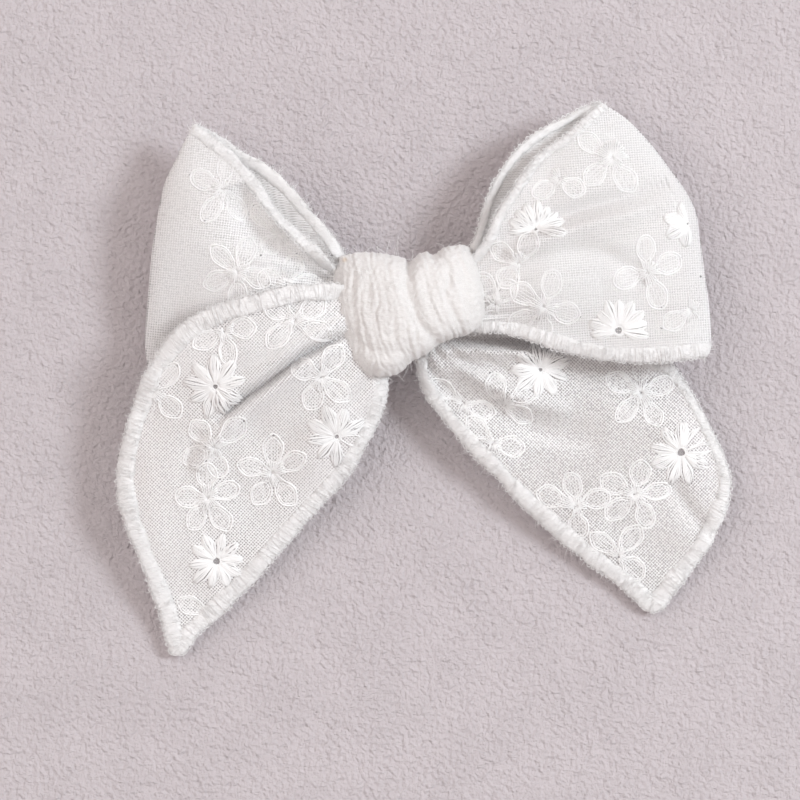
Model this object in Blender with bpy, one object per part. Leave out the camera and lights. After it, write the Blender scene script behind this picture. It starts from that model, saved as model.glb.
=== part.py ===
"""Hair bow of white embroidered cotton on a sprung metal alligator clip.

The bow lies face up. X runs across the bow, +Y towards the tops of the loops and +Z out of its face.
The origin is on the underside of the clip's toothed jaw, below the knot. One strip of cloth is folded
in three at the waist: from the front it runs left tail, right loop, left loop, right tail. It is
modelled as those four lengths, which meet at the gathered waist inside the knot.

Lengths in the tables are in millimetres; MM turns them into metres.
"""

import math

import bmesh
import bpy
import numpy as np
from mathutils import Matrix, Vector

MM = 0.001

# Driving dimensions, in millimetres
CLOTH_THICK = 0.9  # the cloth with its embroidery, as a plain solid
EDGING_R = 1.0  # half the width of the overlocked edge
GAP = 0.3  # clearance between curved pieces that touch
FLAT_GAP = 0.1  # clearance between flat pieces that touch

STEEL_THICK = 0.8
HINGE_X, HINGE_Z = -11.0, 3.1
PLATE_FRONT, PLATE_REAR = 33.0, -13.0  # ends of both clip plates, from the hinge
JAW_HALF_WIDTH = 3.2
ARM_HALF_WIDTH = 4.4
ARM_UNDERSIDE = 2.3  # above the hinge axis, square to the arm
ARM_SLOPE_DEG = 3.6  # the arm rises this much towards its rear end
LEVER_FLARE_DEG = 5.0  # and this much more behind the hinge
EAR_R, EAR_THICK = 1.9, 0.7
JAW_EAR_Y, ARM_EAR_Y = 2.85, 3.95  # middles of the ears' thickness
PIN_R, PIN_HOLE_R, PIN_HEAD_R = 0.75, 0.95, 1.25
PIN_HALF_LENGTH = 5.0
TOOTH_COUNT, TOOTH_PITCH = 5, 1.9
WIRE_R, COIL_R, COIL_TURNS, COIL_PITCH = 0.33, 1.5, 4, 0.85
LEG_LENGTH = 8.5

RIBBON_THICK, RIBBON_HALF_WIDTH = 0.5, 4.2
PAD_HALF = (5.2, 3.6)
WAIST_X = (-7.8, 3.8)
WAIST_Z, WAIST_HALF = 11.8, (6.3, 4.3)
WAIST_PLEATS = 11
THREAD_R, THREAD_TURNS = 0.25, 3

# The four lengths of the strip. "lower" and "upper" are the strip's two long edges in plan, from the
# knot outwards, and "end" is the far side, from the lower edge to the upper one. "height" is a net of
# heights: a row for each quarter of the way from the knot, a column for each quarter from the lower
# edge to the upper one. A loop also has half the room between its front and its back, per column.
# "hand" is 1 where the inside lies to the left of "lower" and "end" as they run, and -1 where to the right.
LEFT_TAIL = {
    "hand": -1,
    "lower": [(-9.8, -5.6), (-6.2, -10.4), (-4.6, -16.5), (-7.6, -24.5), (-14, -32.6), (-22, -41.8),
              (-31, -51.5), (-38, -58.6), (-43.2, -64)],
    "upper": [(-9.8, 4.8), (-15, 4.8), (-23, 3.6), (-32, 1), (-40, -2.8), (-46.4, -8.5), (-51, -16.5)],
    "end": [(-43.2, -64), (-45.6, -58), (-50.3, -46), (-54, -36), (-54.2, -27), (-51, -16.5)],
    "height": [
        (13.2, 14.6, 15.2, 15.3, 15.2),
        (9.0, 13.8, 16.4, 17.2, 17.2),
        (5.6, 9.6, 12.8, 15.0, 15.2),
        (3.2, 6.0, 8.6, 10.4, 11.0),
        (1.1, 3.2, 5.4, 7.2, 8.2),
    ],
}
RIGHT_TAIL = {
    "hand": 1,
    "lower": [(4.6, -6.4), (2.2, -10.4), (3.2, -16), (8, -23.5), (15, -31.5), (23, -39.4),
              (33, -47.6), (41, -53.6), (46.2, -56.8)],
    "upper": [(5.4, 4.2), (10, 2), (17, -0.5), (27, -3), (38, -5.5), (48, -9.5)],
    "end": [(46.2, -56.8), (52, -50.4), (57.2, -42), (60.4, -32.5), (57.4, -23), (48, -9.5)],
    "height": [
        (9.0, 9.2, 9.2, 9.0, 8.8),
        (7.0, 8.2, 8.4, 7.6, 7.0),
        (4.6, 6.4, 7.0, 6.0, 5.4),
        (2.8, 4.8, 5.6, 5.2, 4.6),
        (1.1, 3.2, 4.4, 4.6, 4.0),
    ],
}
LEFT_LOOP = {
    "hand": -1,
    "lower": [(-9.8, -3.2), (-18, -6.2), (-30, -10), (-46.5, -13.5)],
    "upper": [(-9.8, 4.8), (-12, 9.5), (-15.5, 14.6), (-21, 21.5), (-28, 28), (-40.6, 35.6)],
    "end": [(-46.5, -13.5), (-48.9, -4), (-48.2, 8), (-46, 22), (-40.6, 35.6)],
    "height": [
        (11.0, 11.0, 11.0, 11.0, 11.0),
        (12.0, 12.4, 12.8, 12.8, 12.6),
        (9.0, 10.6, 11.8, 12.2, 12.2),
        (6.8, 8.6, 10.2, 11.2, 11.4),
        (5.4, 7.2, 8.8, 9.8, 10.2),
    ],
    "room": (2.0, 2.8, 4.3, 4.8, 4.2),
    "root_room": 1.1,
}
RIGHT_LOOP = {
    "hand": 1,
    "lower": [(5.4, -4.6), (14, -4.2), (22, -5.5), (32, -8.3), (42, -9.9), (54.8, -9)],
    "upper": [(5.4, 4.8), (10.6, 10), (13.6, 19), (18, 27.5), (24.5, 34), (34.6, 39.4)],
    "end": [(54.8, -9), (55.5, 1), (53.6, 15), (49, 26), (43, 33.4), (34.6, 39.4)],
    "height": [
        (12.6, 12.6, 12.6, 12.6, 12.6),
        (13.1, 13.3, 13.4, 13.3, 13.0),
        (12.9, 13.1, 13.3, 13.0, 12.7),
        (12.2, 12.4, 12.6, 12.2, 11.8),
        (10.6, 10.8, 10.9, 10.6, 10.2),
    ],
    "room": (4.0, 4.6, 5.0, 4.9, 4.6),
    "root_room": 1.5,
}
ROOM_GROWS_OVER = 0.5  # share of a loop's length over which its room opens up from the knot
FOLD_SQUARENESS = 10  # higher keeps a loop's room nearer to its far fold

# The knot's band, station by station round the waist: y and z of the middle of its thickness, x of the
# middle of its width, half its width, half its thickness, and how far y leans per unit of x.
BAND_STATIONS = [
    (0.0, 3.0, -1.5, 4.0, 0.6, 0.0),
    (5.6, 4.4, -1.2, 4.2, 0.7, 0.0),
    (8.4, 8.6, -0.6, 4.6, 0.8, 0.0),
    (9.0, 13.0, -0.2, 5.6, 1.0, 0.0),
    (10.6, 17.0, 0.2, 11.4, 1.4, 0.05),
    (5.0, 19.3, 0.4, 13.8, 1.7, 0.08),
    (-1.4, 19.9, 0.4, 13.9, 1.8, 0.12),
    (-7.4, 18.9, -0.8, 12.4, 1.6, 0.24),
    (-11.0, 16.8, -4.0, 7.4, 1.3, 0.26),
    (-9.0, 12.6, -2.6, 3.0, 0.9, 0.0),
    (-8.2, 8.6, -2.4, 2.2, 0.8, 0.0),
    (-5.6, 4.4, -2.0, 3.2, 0.7, 0.0),
]
STITCH_R, STITCH_HALF_LENGTH, STITCH_PITCH = 0.2, 1.3, 1.8


# --- materials and small helpers ---------------------------------------------------------------


def material(name, colour, roughness, metallic=0.0):
    """A plain finish: base colour, roughness and metallic value."""
    made = bpy.data.materials.new(name)
    made.use_nodes = True
    shader = made.node_tree.nodes["Principled BSDF"]
    shader.inputs["Base Color"].default_value = (*colour, 1.0)
    shader.inputs["Roughness"].default_value = roughness
    shader.inputs["Metallic"].default_value = metallic
    return made


def cotton(name):
    return material(name, (0.86, 0.85, 0.82), 0.9)


def steel(name):
    return material(name, (0.66, 0.65, 0.62), 0.28, 1.0)


def add(name, data, finish):
    """Links a mesh or curve as a named object with its finish."""
    data.materials.append(finish)
    obj = bpy.data.objects.new(name, data)
    bpy.context.scene.collection.objects.link(obj)
    return obj


def mesh_from(name, bm):
    """A mesh made from a bmesh, facing out and shaded smooth up to 40 degrees."""
    bmesh.ops.recalc_face_normals(bm, faces=bm.faces)
    mesh = bpy.data.meshes.new(name)
    bm.to_mesh(mesh)
    bm.free()
    mesh.shade_smooth()
    mesh.set_sharp_from_angle(angle=math.radians(40))
    return mesh


def catmull_rom(p0, p1, p2, p3, t):
    return 0.5 * (2 * p1 + (p2 - p0) * t + (2 * p0 - 5 * p1 + 4 * p2 - p3) * t**2
                  + (3 * p1 - p0 - 3 * p2 + p3) * t**3)


def smooth_rows(rows, at):
    """Rows of numbers read smoothly at shares 0 to 1 of the way from the first row to the last."""
    rows = np.asarray(rows, float)
    padded = np.concatenate([[2 * rows[0] - rows[1]], rows, [2 * rows[-1] - rows[-2]]])
    place = np.clip(np.asarray(at, float), 0, 1) * (len(rows) - 1)
    span = np.clip(np.floor(place).astype(int), 0, len(rows) - 2)
    t = (place - span).reshape(place.shape + (1,) * (rows.ndim - 1))
    return catmull_rom(*(padded[span + k] for k in range(4)), t)


def evenly_spaced(points, count=9):
    """The same smooth curve given by points an equal distance apart."""
    fine = smooth_rows(points, np.linspace(0, 1, 201))
    steps = np.concatenate([[0.0], np.cumsum(np.linalg.norm(np.diff(fine, axis=0), axis=1))])
    marks = np.linspace(0, steps[-1], count)
    return np.stack([np.interp(marks, steps, fine[:, k]) for k in range(fine.shape[1])], axis=1)


def tube(name, path, radius, finish, resolution=2):
    """A round tube along a path in millimetres: a poly curve with a bevel and filled caps."""
    curve = bpy.data.curves.new(name, "CURVE")
    curve.dimensions = "3D"
    curve.bevel_depth = radius * MM
    curve.bevel_resolution = resolution
    curve.use_fill_caps = True
    spline = curve.splines.new("POLY")
    spline.points.add(len(path) - 1)
    for point, place in zip(spline.points, path):
        point.co = (*(Vector(place) * MM), 1.0)
    return add(name, curve, finish)


def grid_faces(rows, columns, base, wrap=False):
    """Quads of a grid of vertices numbered from base; wrap joins the last column to the first."""
    last = columns if wrap else columns - 1
    faces = []
    for r in range(rows - 1):
        for c in range(last):
            a, b = base + r * columns + c, base + r * columns + (c + 1) % columns
            faces.append((a, b, b + columns, a + columns))
    return faces


# --- the cloth ---------------------------------------------------------------------------------


def moved_in(curve, inset):
    """A dense curve in plan moved to its left by the inset."""
    along = np.gradient(curve, axis=0)
    along /= np.linalg.norm(along, axis=1, keepdims=True)
    return curve + inset * np.stack([-along[:, 1], along[:, 0]], axis=1)


def trimmed_pair(first, second):
    """The first curve cut where it comes nearest to the second, and the second from there on."""
    apart = np.linalg.norm(first[:, None] - second[None], axis=2)
    i, j = np.unravel_index(np.argmin(apart), apart.shape)
    return first[: i + 1], second[j:]


def inset_panel(panel, inset, end_inset):
    """The panel with its long edges and its far end moved inwards, as even curves in plan."""
    share = np.linspace(0, 1, 241)
    lower = moved_in(smooth_rows(evenly_spaced(panel["lower"], 25), share), inset * panel["hand"])
    upper = moved_in(smooth_rows(evenly_spaced(panel["upper"], 25), share), -inset * panel["hand"])
    end = moved_in(smooth_rows(evenly_spaced(panel["end"], 25), share), end_inset * panel["hand"])
    lower, end = trimmed_pair(lower, end)
    upper, backwards = trimmed_pair(upper, end[::-1])
    curves = {"lower": lower, "upper": upper, "end": backwards[::-1]}
    return {name: evenly_spaced(curve, 25) for name, curve in curves.items()}


def panel_plan(edges, u, v):
    """Plan position of shares u (from the knot) and v (from the lower edge): a Coons patch."""
    along_lower, along_upper = smooth_rows(edges["lower"], u), smooth_rows(edges["upper"], u)
    across = smooth_rows(edges["end"], v)
    u, v = u[..., None], v[..., None]
    far = (1 - v) * edges["lower"][-1] + v * edges["upper"][-1]
    return (1 - v) * along_lower + v * along_upper + u * (across - far)


def net_height(net, u, v):
    """The height net read smoothly along both directions, for a grid of u (rows) and v (columns)."""
    rows = smooth_rows(net, u[:, 0])
    return np.array([smooth_rows(row, v[i]) for i, row in enumerate(rows)])


def shares(panel, us, count, inset, end_inset):
    """Even grids of u and v, and the same places as shares of the panel without its insets."""
    width = np.linalg.norm(evenly_spaced(panel["upper"]) - evenly_spaced(panel["lower"]), axis=1)
    margin = (inset / smooth_rows(width, us))[:, None]
    length = np.linalg.norm(np.diff(evenly_spaced(panel["lower"], 60), axis=0), axis=1).sum()
    u, v = np.meshgrid(us, np.linspace(0, 1, count), indexing="ij")
    return u, v, u * (1 - end_inset / length), margin + v * (1 - 2 * margin)


def tail_points(panel, us, count, inset):
    u, v, full_u, full_v = shares(panel, us, count, inset, inset)
    plan = panel_plan(inset_panel(panel, inset, inset), u, v)
    return np.dstack([plan, net_height(panel["height"], full_u, full_v)])


def loop_points(panel, steps, count, inset):
    """Middle of a loop's cloth: out along its front, round the far fold and back along its back."""
    a = np.linspace(0, 1, steps)
    us = 1 - (1 - a) ** 2
    us = np.concatenate([us, us[-2::-1]])
    side = np.concatenate([np.ones(steps), -np.ones(steps - 1)])[:, None]
    u, v, full_u, full_v = shares(panel, us, count, inset, CLOTH_THICK / 2)
    opening = np.clip(us / ROOM_GROWS_OVER, 0, 1)[:, None]
    opening = opening**2 * (3 - 2 * opening)
    room = panel["root_room"] + (smooth_rows(panel["room"], full_v) - panel["root_room"]) * opening
    room = room * np.sqrt(np.clip(1 - us[:, None] ** FOLD_SQUARENESS, 0, 1))
    plan = panel_plan(inset_panel(panel, inset, CLOTH_THICK / 2), u, v)
    return np.dstack([plan, net_height(panel["height"], full_u, full_v) + side * room])


def grid_normals(points):
    along = np.gradient(points, axis=0)
    across = np.gradient(points, axis=1)
    normal = np.cross(along, across)
    return normal / np.linalg.norm(normal, axis=2, keepdims=True)


def sheet_solid(name, points, finish):
    """A closed solid of the cloth's thickness either side of a grid of points."""
    rows, columns = points.shape[:2]
    half = grid_normals(points) * CLOTH_THICK / 2
    places = np.concatenate([(points + half).reshape(-1, 3), (points - half).reshape(-1, 3)]) * MM
    count = rows * columns
    faces = grid_faces(rows, columns, 0) + grid_faces(rows, columns, count)
    grid = np.arange(count).reshape(rows, columns)
    rim = np.concatenate([grid[0, :-1], grid[:-1, -1], grid[-1, :0:-1], grid[:0:-1, 0]])
    faces += [(a, b, b + count, a + count) for a, b in zip(rim, np.roll(rim, -1))]
    bm = bmesh.new()
    verts = [bm.verts.new(place) for place in places]
    for face in faces:
        bm.faces.new([verts[k] for k in face])
    return add(name, mesh_from(name, bm), finish)


def eased_path(path, passes):
    """A path with its corners rounded off by averaging neighbours; the ends stay."""
    path = np.array(path, float)
    for _ in range(passes):
        path[1:-1] = (path[:-2] + 2 * path[1:-1] + path[2:]) / 4
    return path


def build_tail(side, panel):
    us = np.linspace(0.02, 1, 15)
    sheet_solid(f"{side}_tail", tail_points(panel, us, 13, 2 * EDGING_R + GAP), cotton(f"{side}_tail"))
    edge = tail_points(panel, np.linspace(0.03, 1, 36), 21, EDGING_R)
    path = np.concatenate([edge[:, 0], edge[-1, 1:], edge[-2::-1, -1]])
    tube(f"{side}_tail_edging", eased_path(path, 1), EDGING_R, cotton(f"{side}_tail_edging"))


def build_loop(side, panel):
    sheet_solid(f"{side}_loop", loop_points(panel, 13, 11, 2 * EDGING_R + GAP), cotton(f"{side}_loop"))
    edge = loop_points(panel, 16, 3, EDGING_R)[1:-1]
    for name, column in (("lower", 0), ("upper", 2)):
        title = f"{side}_loop_{name}_edging"
        tube(title, edge[:, column], EDGING_R, cotton(title))


# --- waist, knot and their sewing ------------------------------------------------------------------


def rings_solid(name, rings, finish, wrap_rows=False):
    """A closed solid through rings of points: capped at both ends, or joined round if wrap_rows."""
    rings = np.asarray(rings)
    rows, columns = rings.shape[:2]
    bm = bmesh.new()
    verts = [bm.verts.new(place * MM) for place in rings.reshape(-1, 3)]
    for face in grid_faces(rows, columns, 0, wrap=True):
        bm.faces.new([verts[k] for k in face])
    if wrap_rows:
        last = (rows - 1) * columns
        for c in range(columns):
            d = (c + 1) % columns
            bm.faces.new([verts[k] for k in (last + c, last + d, d, c)])
    else:
        bm.faces.new(verts[:columns])
        bm.faces.new(verts[-columns:])
    return add(name, mesh_from(name, bm), finish)


def waist_size(x):
    """The waist's share of its full size at x: pinched where the thread binds it."""
    return 1 - 0.2 * math.exp(-(((x + 2.0) / 2.4) ** 2))


def build_waist():
    angles = np.linspace(0, 2 * math.pi, 4 * WAIST_PLEATS, endpoint=False)
    pleat = 1 + 0.05 * np.cos(WAIST_PLEATS * angles)
    rings = []
    for x in np.linspace(*WAIST_X, 15):
        size = waist_size(x) * pleat
        y, z = WAIST_HALF[0] * size * np.cos(angles), WAIST_HALF[1] * size * np.sin(angles)
        rings.append(np.stack([np.full_like(y, x), y, WAIST_Z + z], axis=1))
    rings_solid("gathered_waist", rings, cotton("gathered_waist"))
    turns = np.linspace(0, 2 * math.pi * THREAD_TURNS, 20 * THREAD_TURNS)
    x = -2.0 + 0.75 * (turns / (2 * math.pi) - THREAD_TURNS / 2)
    size = np.array([waist_size(k) for k in x]) * 1.05
    reach = THREAD_R + 0.15
    y = (WAIST_HALF[0] * size + reach) * np.cos(turns)
    z = WAIST_Z + (WAIST_HALF[1] * size + reach) * np.sin(turns)
    tube("binding_thread", np.stack([x, y, z], axis=1), THREAD_R, cotton("binding_thread"), 1)


def closed_rows(rows, count):
    """Rows of numbers read smoothly round a closed circuit at an even count of places."""
    rows = np.asarray(rows, float)
    place = np.linspace(0, len(rows), count, endpoint=False)
    span = np.floor(place).astype(int)
    picked = (rows[(span + k - 1) % len(rows)] for k in range(4))
    return catmull_rom(*picked, (place - span)[:, None])


def build_band():
    """The knot: a band of changing width and thickness round the waist and the clip's arm."""
    stations = closed_rows(BAND_STATIONS, 40)
    centre = stations[:, :2]
    along = np.roll(centre, -1, axis=0) - np.roll(centre, 1, axis=0)
    along /= np.linalg.norm(along, axis=1, keepdims=True)
    outward = np.stack([along[:, 1], -along[:, 0]], axis=1)
    angles = np.linspace(0, 2 * math.pi, 16, endpoint=False)
    wide = np.sign(np.cos(angles)) * np.abs(np.cos(angles)) ** 0.8
    thick = np.sign(np.sin(angles)) * np.abs(np.sin(angles)) ** 0.8
    rings = []
    for (y, z, x, half_width, half_thick, lean), (out_y, out_z) in zip(stations, outward):
        over = half_width * wide
        ring_y = y + lean * over + out_y * half_thick * thick
        rings.append(np.stack([x + over, ring_y, z + out_z * half_thick * thick], axis=1))
    rings_solid("knot_band", rings, cotton("knot_band"), wrap_rows=True)


def build_band_stitches():
    """Hand stitches across the overlap of the band's ends, on its underside between the jaws."""
    under = BAND_STATIONS[0][1] - BAND_STATIONS[0][4] - STITCH_R - FLAT_GAP
    for k in range(3):
        x = BAND_STATIONS[0][2] + (k - 1) * STITCH_PITCH
        y = np.linspace(-STITCH_HALF_LENGTH, STITCH_HALF_LENGTH, 5)
        path = np.stack([x + 0.25 * y, y, np.full_like(y, under)], axis=1)
        tube(f"band_stitch_{k + 1}", path, STITCH_R, cotton(f"band_stitch_{k + 1}"), 1)


# --- the clip --------------------------------------------------------------------------------------


def extruded(name, profile, y0, y1):
    """A loose block: an (x, z) outline in millimetres drawn out from y0 to y1."""
    bm = bmesh.new()
    near = [bm.verts.new(Vector((x, y0, z)) * MM) for x, z in profile]
    far = [bm.verts.new(Vector((x, y1, z)) * MM) for x, z in profile]
    bm.faces.new(near)
    bm.faces.new(far[::-1])
    for a in range(len(profile)):
        b = (a + 1) % len(profile)
        bm.faces.new([near[a], far[a], far[b], near[b]])
    obj = bpy.data.objects.new(name, mesh_from(name, bm))
    bpy.context.scene.collection.objects.link(obj)
    return obj


def cylinder_y(name, x, z, radius, half_length):
    bm = bmesh.new()
    bmesh.ops.create_cone(bm, cap_ends=True, segments=28, radius1=radius * MM, radius2=radius * MM,
                          depth=2 * half_length * MM)
    turned = Matrix.Translation(Vector((x, 0, z)) * MM) @ Matrix.Rotation(math.radians(90), 4, "X")
    bm.transform(turned)
    obj = bpy.data.objects.new(name, mesh_from(name, bm))
    bpy.context.scene.collection.objects.link(obj)
    return obj


def combined(name, base, others, finish):
    """The base with every (operation, object) applied in turn, as one new named object."""
    for operation, other in others:
        step = base.modifiers.new(operation.lower(), "BOOLEAN")
        step.operation, step.object, step.solver = operation, other, "EXACT"
    graph = bpy.context.evaluated_depsgraph_get()
    mesh = bpy.data.meshes.new_from_object(base.evaluated_get(graph))
    for obj in [base] + [other for _, other in others]:
        bpy.data.objects.remove(obj)
    mesh.name = name
    mesh.shade_smooth()
    mesh.set_sharp_from_angle(angle=math.radians(30))
    return add(name, mesh, finish)


def sloped(distance):
    """Height of the arm's underside at a distance along X from the hinge."""
    slope = math.tan(math.radians(ARM_SLOPE_DEG))
    flare = math.tan(math.radians(ARM_SLOPE_DEG + LEVER_FLARE_DEG))
    rise = -distance * (flare if distance < 0 else slope)
    return HINGE_Z + ARM_UNDERSIDE + rise


def ear_profile(foot_z):
    """An ear round the hinge hole, running straight to a foot at foot_z."""
    half = math.pi if foot_z < HINGE_Z else -math.pi
    arc = [half * k / 10 for k in range(11)]
    curve = [(HINGE_X + EAR_R * math.cos(a), HINGE_Z + EAR_R * math.sin(a)) for a in arc]
    return curve + [(HINGE_X - EAR_R, foot_z), (HINGE_X + EAR_R, foot_z)]


def ears(offset, foot_z):
    half = EAR_THICK / 2
    return [("UNION", extruded("ear", ear_profile(foot_z), s * offset - half, s * offset + half))
            for s in (-1, 1)]


def pin_hole():
    return [("DIFFERENCE", cylinder_y("hole", HINGE_X, HINGE_Z, PIN_HOLE_R, ARM_HALF_WIDTH + 2))]


def toothed_wall():
    """Outline of a side wall near the jaw's tip whose saw teeth meet the arm's underside."""
    front = HINGE_X + PLATE_FRONT - 0.3
    start = front - TOOTH_COUNT * TOOTH_PITCH
    outline = [(start, STEEL_THICK / 2)]
    for k in range(TOOTH_COUNT):
        tip = start + (k + 0.85) * TOOTH_PITCH
        outline += [(start + k * TOOTH_PITCH + 0.05, STEEL_THICK + 0.5), (tip, sloped(tip - HINGE_X) - 0.08)]
    outline += [(front, STEEL_THICK + 0.5), (front, STEEL_THICK / 2)]
    return outline


def build_jaw():
    """The lower plate with its saw-toothed tip, hinge ears and rear lever."""
    front, rear = HINGE_X + PLATE_FRONT, HINGE_X + PLATE_REAR
    outline = [(rear, 0.0), (front, 0.0), (front, STEEL_THICK), (rear, STEEL_THICK)]
    plate = extruded("plate", outline, -JAW_HALF_WIDTH, JAW_HALF_WIDTH)
    walls = [("UNION", extruded("wall", toothed_wall(), s * JAW_HALF_WIDTH - (s > 0) * 0.7,
                                s * JAW_HALF_WIDTH + (s < 0) * 0.7)) for s in (-1, 1)]
    parts = ears(JAW_EAR_Y, STEEL_THICK / 2) + walls + pin_hole()
    combined("clip_lower_jaw", plate, parts, steel("clip_lower_jaw"))


def build_arm():
    """The upper plate that carries the bow: straight to the tip, flared behind the hinge."""
    marks = (PLATE_REAR, 0.0, PLATE_FRONT + 0.4)
    under = [(HINGE_X + d, sloped(d)) for d in marks]
    over = [(x, z + STEEL_THICK) for x, z in under]
    plate = extruded("plate", under + over[::-1], -ARM_HALF_WIDTH, ARM_HALF_WIDTH)
    parts = ears(ARM_EAR_Y, sloped(0) + STEEL_THICK / 2) + pin_hole()
    combined("clip_upper_arm", plate, parts, steel("clip_upper_arm"))


def build_ribbon_and_pad():
    """Ribbon glued along the top of the arm, and the glue that beds the waist on it."""
    lift = STEEL_THICK + FLAT_GAP
    marks = (-6.0, 0.0, PLATE_FRONT)
    under = [(HINGE_X + d, sloped(d) + lift) for d in marks]
    over = [(x, z + RIBBON_THICK) for x, z in under]
    finish = material("arm_ribbon", (0.84, 0.83, 0.79), 0.8)
    ribbon = extruded("ribbon", under + over[::-1], -RIBBON_HALF_WIDTH, RIBBON_HALF_WIDTH)
    combined("arm_ribbon", ribbon, [], finish)
    angles = np.linspace(0, 2 * math.pi, 28, endpoint=False)
    middle = (WAIST_X[0] + WAIST_X[1]) / 2
    rings = []
    for share, size in ((0.0, 1.0), (0.5, 0.9), (1.0, 0.62)):
        x, y = middle + PAD_HALF[0] * size * np.cos(angles), PAD_HALF[1] * size * np.sin(angles)
        foot = np.array([sloped(k - HINGE_X) for k in x]) + lift + RIBBON_THICK + FLAT_GAP
        top = WAIST_Z - WAIST_HALF[1] * 1.05 - GAP
        rings.append(np.stack([x, y, foot + (top - foot) * share], axis=1))
    rings_solid("glue_pad", rings, material("glue_pad", (0.8, 0.76, 0.66), 0.35))


def build_hinge():
    """A headed pin through the ears, and the torsion spring round it with a leg to each lever."""
    profile = [(PIN_R, -PIN_HALF_LENGTH + 0.4), (PIN_HEAD_R, -PIN_HALF_LENGTH + 0.4),
               (PIN_HEAD_R * 0.8, -PIN_HALF_LENGTH)]
    profile += [(radius, -y) for radius, y in profile]
    order = [profile[2], profile[1], profile[0], profile[3], profile[4], profile[5]]
    angles = np.linspace(0, 2 * math.pi, 24, endpoint=False)
    rings = [np.stack([HINGE_X + r * np.cos(angles), np.full(24, y), HINGE_Z + r * np.sin(angles)],
                      axis=1) for r, y in order]
    rings_solid("hinge_pin", rings, steel("hinge_pin"))
    low = STEEL_THICK + WIRE_R + 0.12
    rear = HINGE_X - LEG_LENGTH
    flare = math.radians(ARM_SLOPE_DEG + LEVER_FLARE_DEG)
    rest = WIRE_R + 0.12
    half = COIL_TURNS * COIL_PITCH / 2
    turns = np.linspace(0, 1, 14 * COIL_TURNS + 1)
    angle = math.pi * 1.5 - turns * 2 * math.pi * (COIL_TURNS + 0.5)
    coil = np.stack([HINGE_X + COIL_R * np.cos(angle), -half + 2 * half * turns,
                     HINGE_Z + COIL_R * np.sin(angle)], axis=1)
    lower_leg = [(rear, -half, low), (rear + 4, -half, low), (HINGE_X - 1.5, -half, low + 0.08)]
    upper = [(HINGE_X - 1.6, half, HINGE_Z + COIL_R + 0.06)]
    for d in (-5.0, -LEG_LENGTH):
        upper.append((HINGE_X + d, half, sloped(d) - rest / math.cos(flare)))
    tube("torsion_spring", np.vstack([lower_leg, coil, upper]), WIRE_R, steel("torsion_spring"), 1)


for leftover in list(bpy.data.objects):
    bpy.data.objects.remove(leftover)
build_jaw()
build_arm()
build_hinge()
build_ribbon_and_pad()
build_waist()
build_band()
build_band_stitches()
build_loop("left", LEFT_LOOP)
build_loop("right", RIGHT_LOOP)
build_tail("left", LEFT_TAIL)
build_tail("right", RIGHT_TAIL)
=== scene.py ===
# Hair bow: one strip of embroidered cotton voile folded into two loops and two tails, gathered in a
# crinkled knot, with overlocked edges, on a nickel-plated alligator clip. Shapes are in millimetres
# and become metres when a mesh is made. Plan places on the cloth count from the middle of the bow.
import math
import bpy
import numpy as np
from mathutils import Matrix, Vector


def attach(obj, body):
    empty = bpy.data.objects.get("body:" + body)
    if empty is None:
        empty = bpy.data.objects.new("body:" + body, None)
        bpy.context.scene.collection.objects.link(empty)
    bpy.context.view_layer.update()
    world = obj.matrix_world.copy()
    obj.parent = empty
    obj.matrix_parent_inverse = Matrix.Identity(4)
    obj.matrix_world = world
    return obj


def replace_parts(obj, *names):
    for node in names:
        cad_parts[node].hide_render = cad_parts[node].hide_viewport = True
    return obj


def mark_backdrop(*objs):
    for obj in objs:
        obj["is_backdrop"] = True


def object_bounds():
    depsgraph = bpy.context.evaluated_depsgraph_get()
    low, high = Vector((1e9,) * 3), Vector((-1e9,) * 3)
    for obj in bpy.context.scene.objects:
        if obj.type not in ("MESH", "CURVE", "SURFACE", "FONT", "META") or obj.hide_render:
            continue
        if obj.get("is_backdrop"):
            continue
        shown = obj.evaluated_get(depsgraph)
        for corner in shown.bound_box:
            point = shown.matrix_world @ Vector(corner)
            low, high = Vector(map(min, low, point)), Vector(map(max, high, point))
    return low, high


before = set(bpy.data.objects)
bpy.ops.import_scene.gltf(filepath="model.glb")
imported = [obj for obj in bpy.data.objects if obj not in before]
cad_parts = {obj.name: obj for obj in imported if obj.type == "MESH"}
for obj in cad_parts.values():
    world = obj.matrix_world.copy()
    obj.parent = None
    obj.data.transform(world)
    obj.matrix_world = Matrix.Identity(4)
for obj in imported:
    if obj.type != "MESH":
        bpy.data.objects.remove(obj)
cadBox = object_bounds()
mm = 0.001
bowMiddle = np.array([3.2, -12.0])
rng = np.random.default_rng(23)

# ---- shared mesh tools


def catmull(p0, p1, p2, p3, t):
    # the usual cubic through p1 and p2 whose slopes come from their neighbours
    return 0.5 * (2 * p1 + (p2 - p0) * t + (2 * p0 - 5 * p1 + 4 * p2 - p3) * t**2
                  + (3 * p1 - p0 - 3 * p2 + p3) * t**3)


def readRows(rows, at):
    # a smooth curve through the rows, read at shares 0 to 1; the answer has the shape of "at" plus a row
    rows = np.asarray(rows, float)
    padded = np.concatenate([[2 * rows[0] - rows[1]], rows, [2 * rows[-1] - rows[-2]]])
    place = np.clip(np.asarray(at, float), 0, 1) * (len(rows) - 1)
    span = np.clip(np.floor(place).astype(int), 0, len(rows) - 2)
    t = (place - span).reshape(place.shape + (1,) * (rows.ndim - 1))
    return catmull(*(padded[span + k] for k in range(4)), t)


def readAcross(values, at):
    # the same along the last axis of values, with one share for each leading place
    padded = np.concatenate([2 * values[..., :1] - values[..., 1:2], values,
                             2 * values[..., -1:] - values[..., -2:-1]], axis=-1)
    place = np.clip(at, 0, 1) * (values.shape[-1] - 1)
    span = np.clip(np.floor(place).astype(int), 0, values.shape[-1] - 2)
    picked = [np.take_along_axis(padded, (span + k)[..., None], -1)[..., 0] for k in range(4)]
    return catmull(*picked, place - span)


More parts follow.
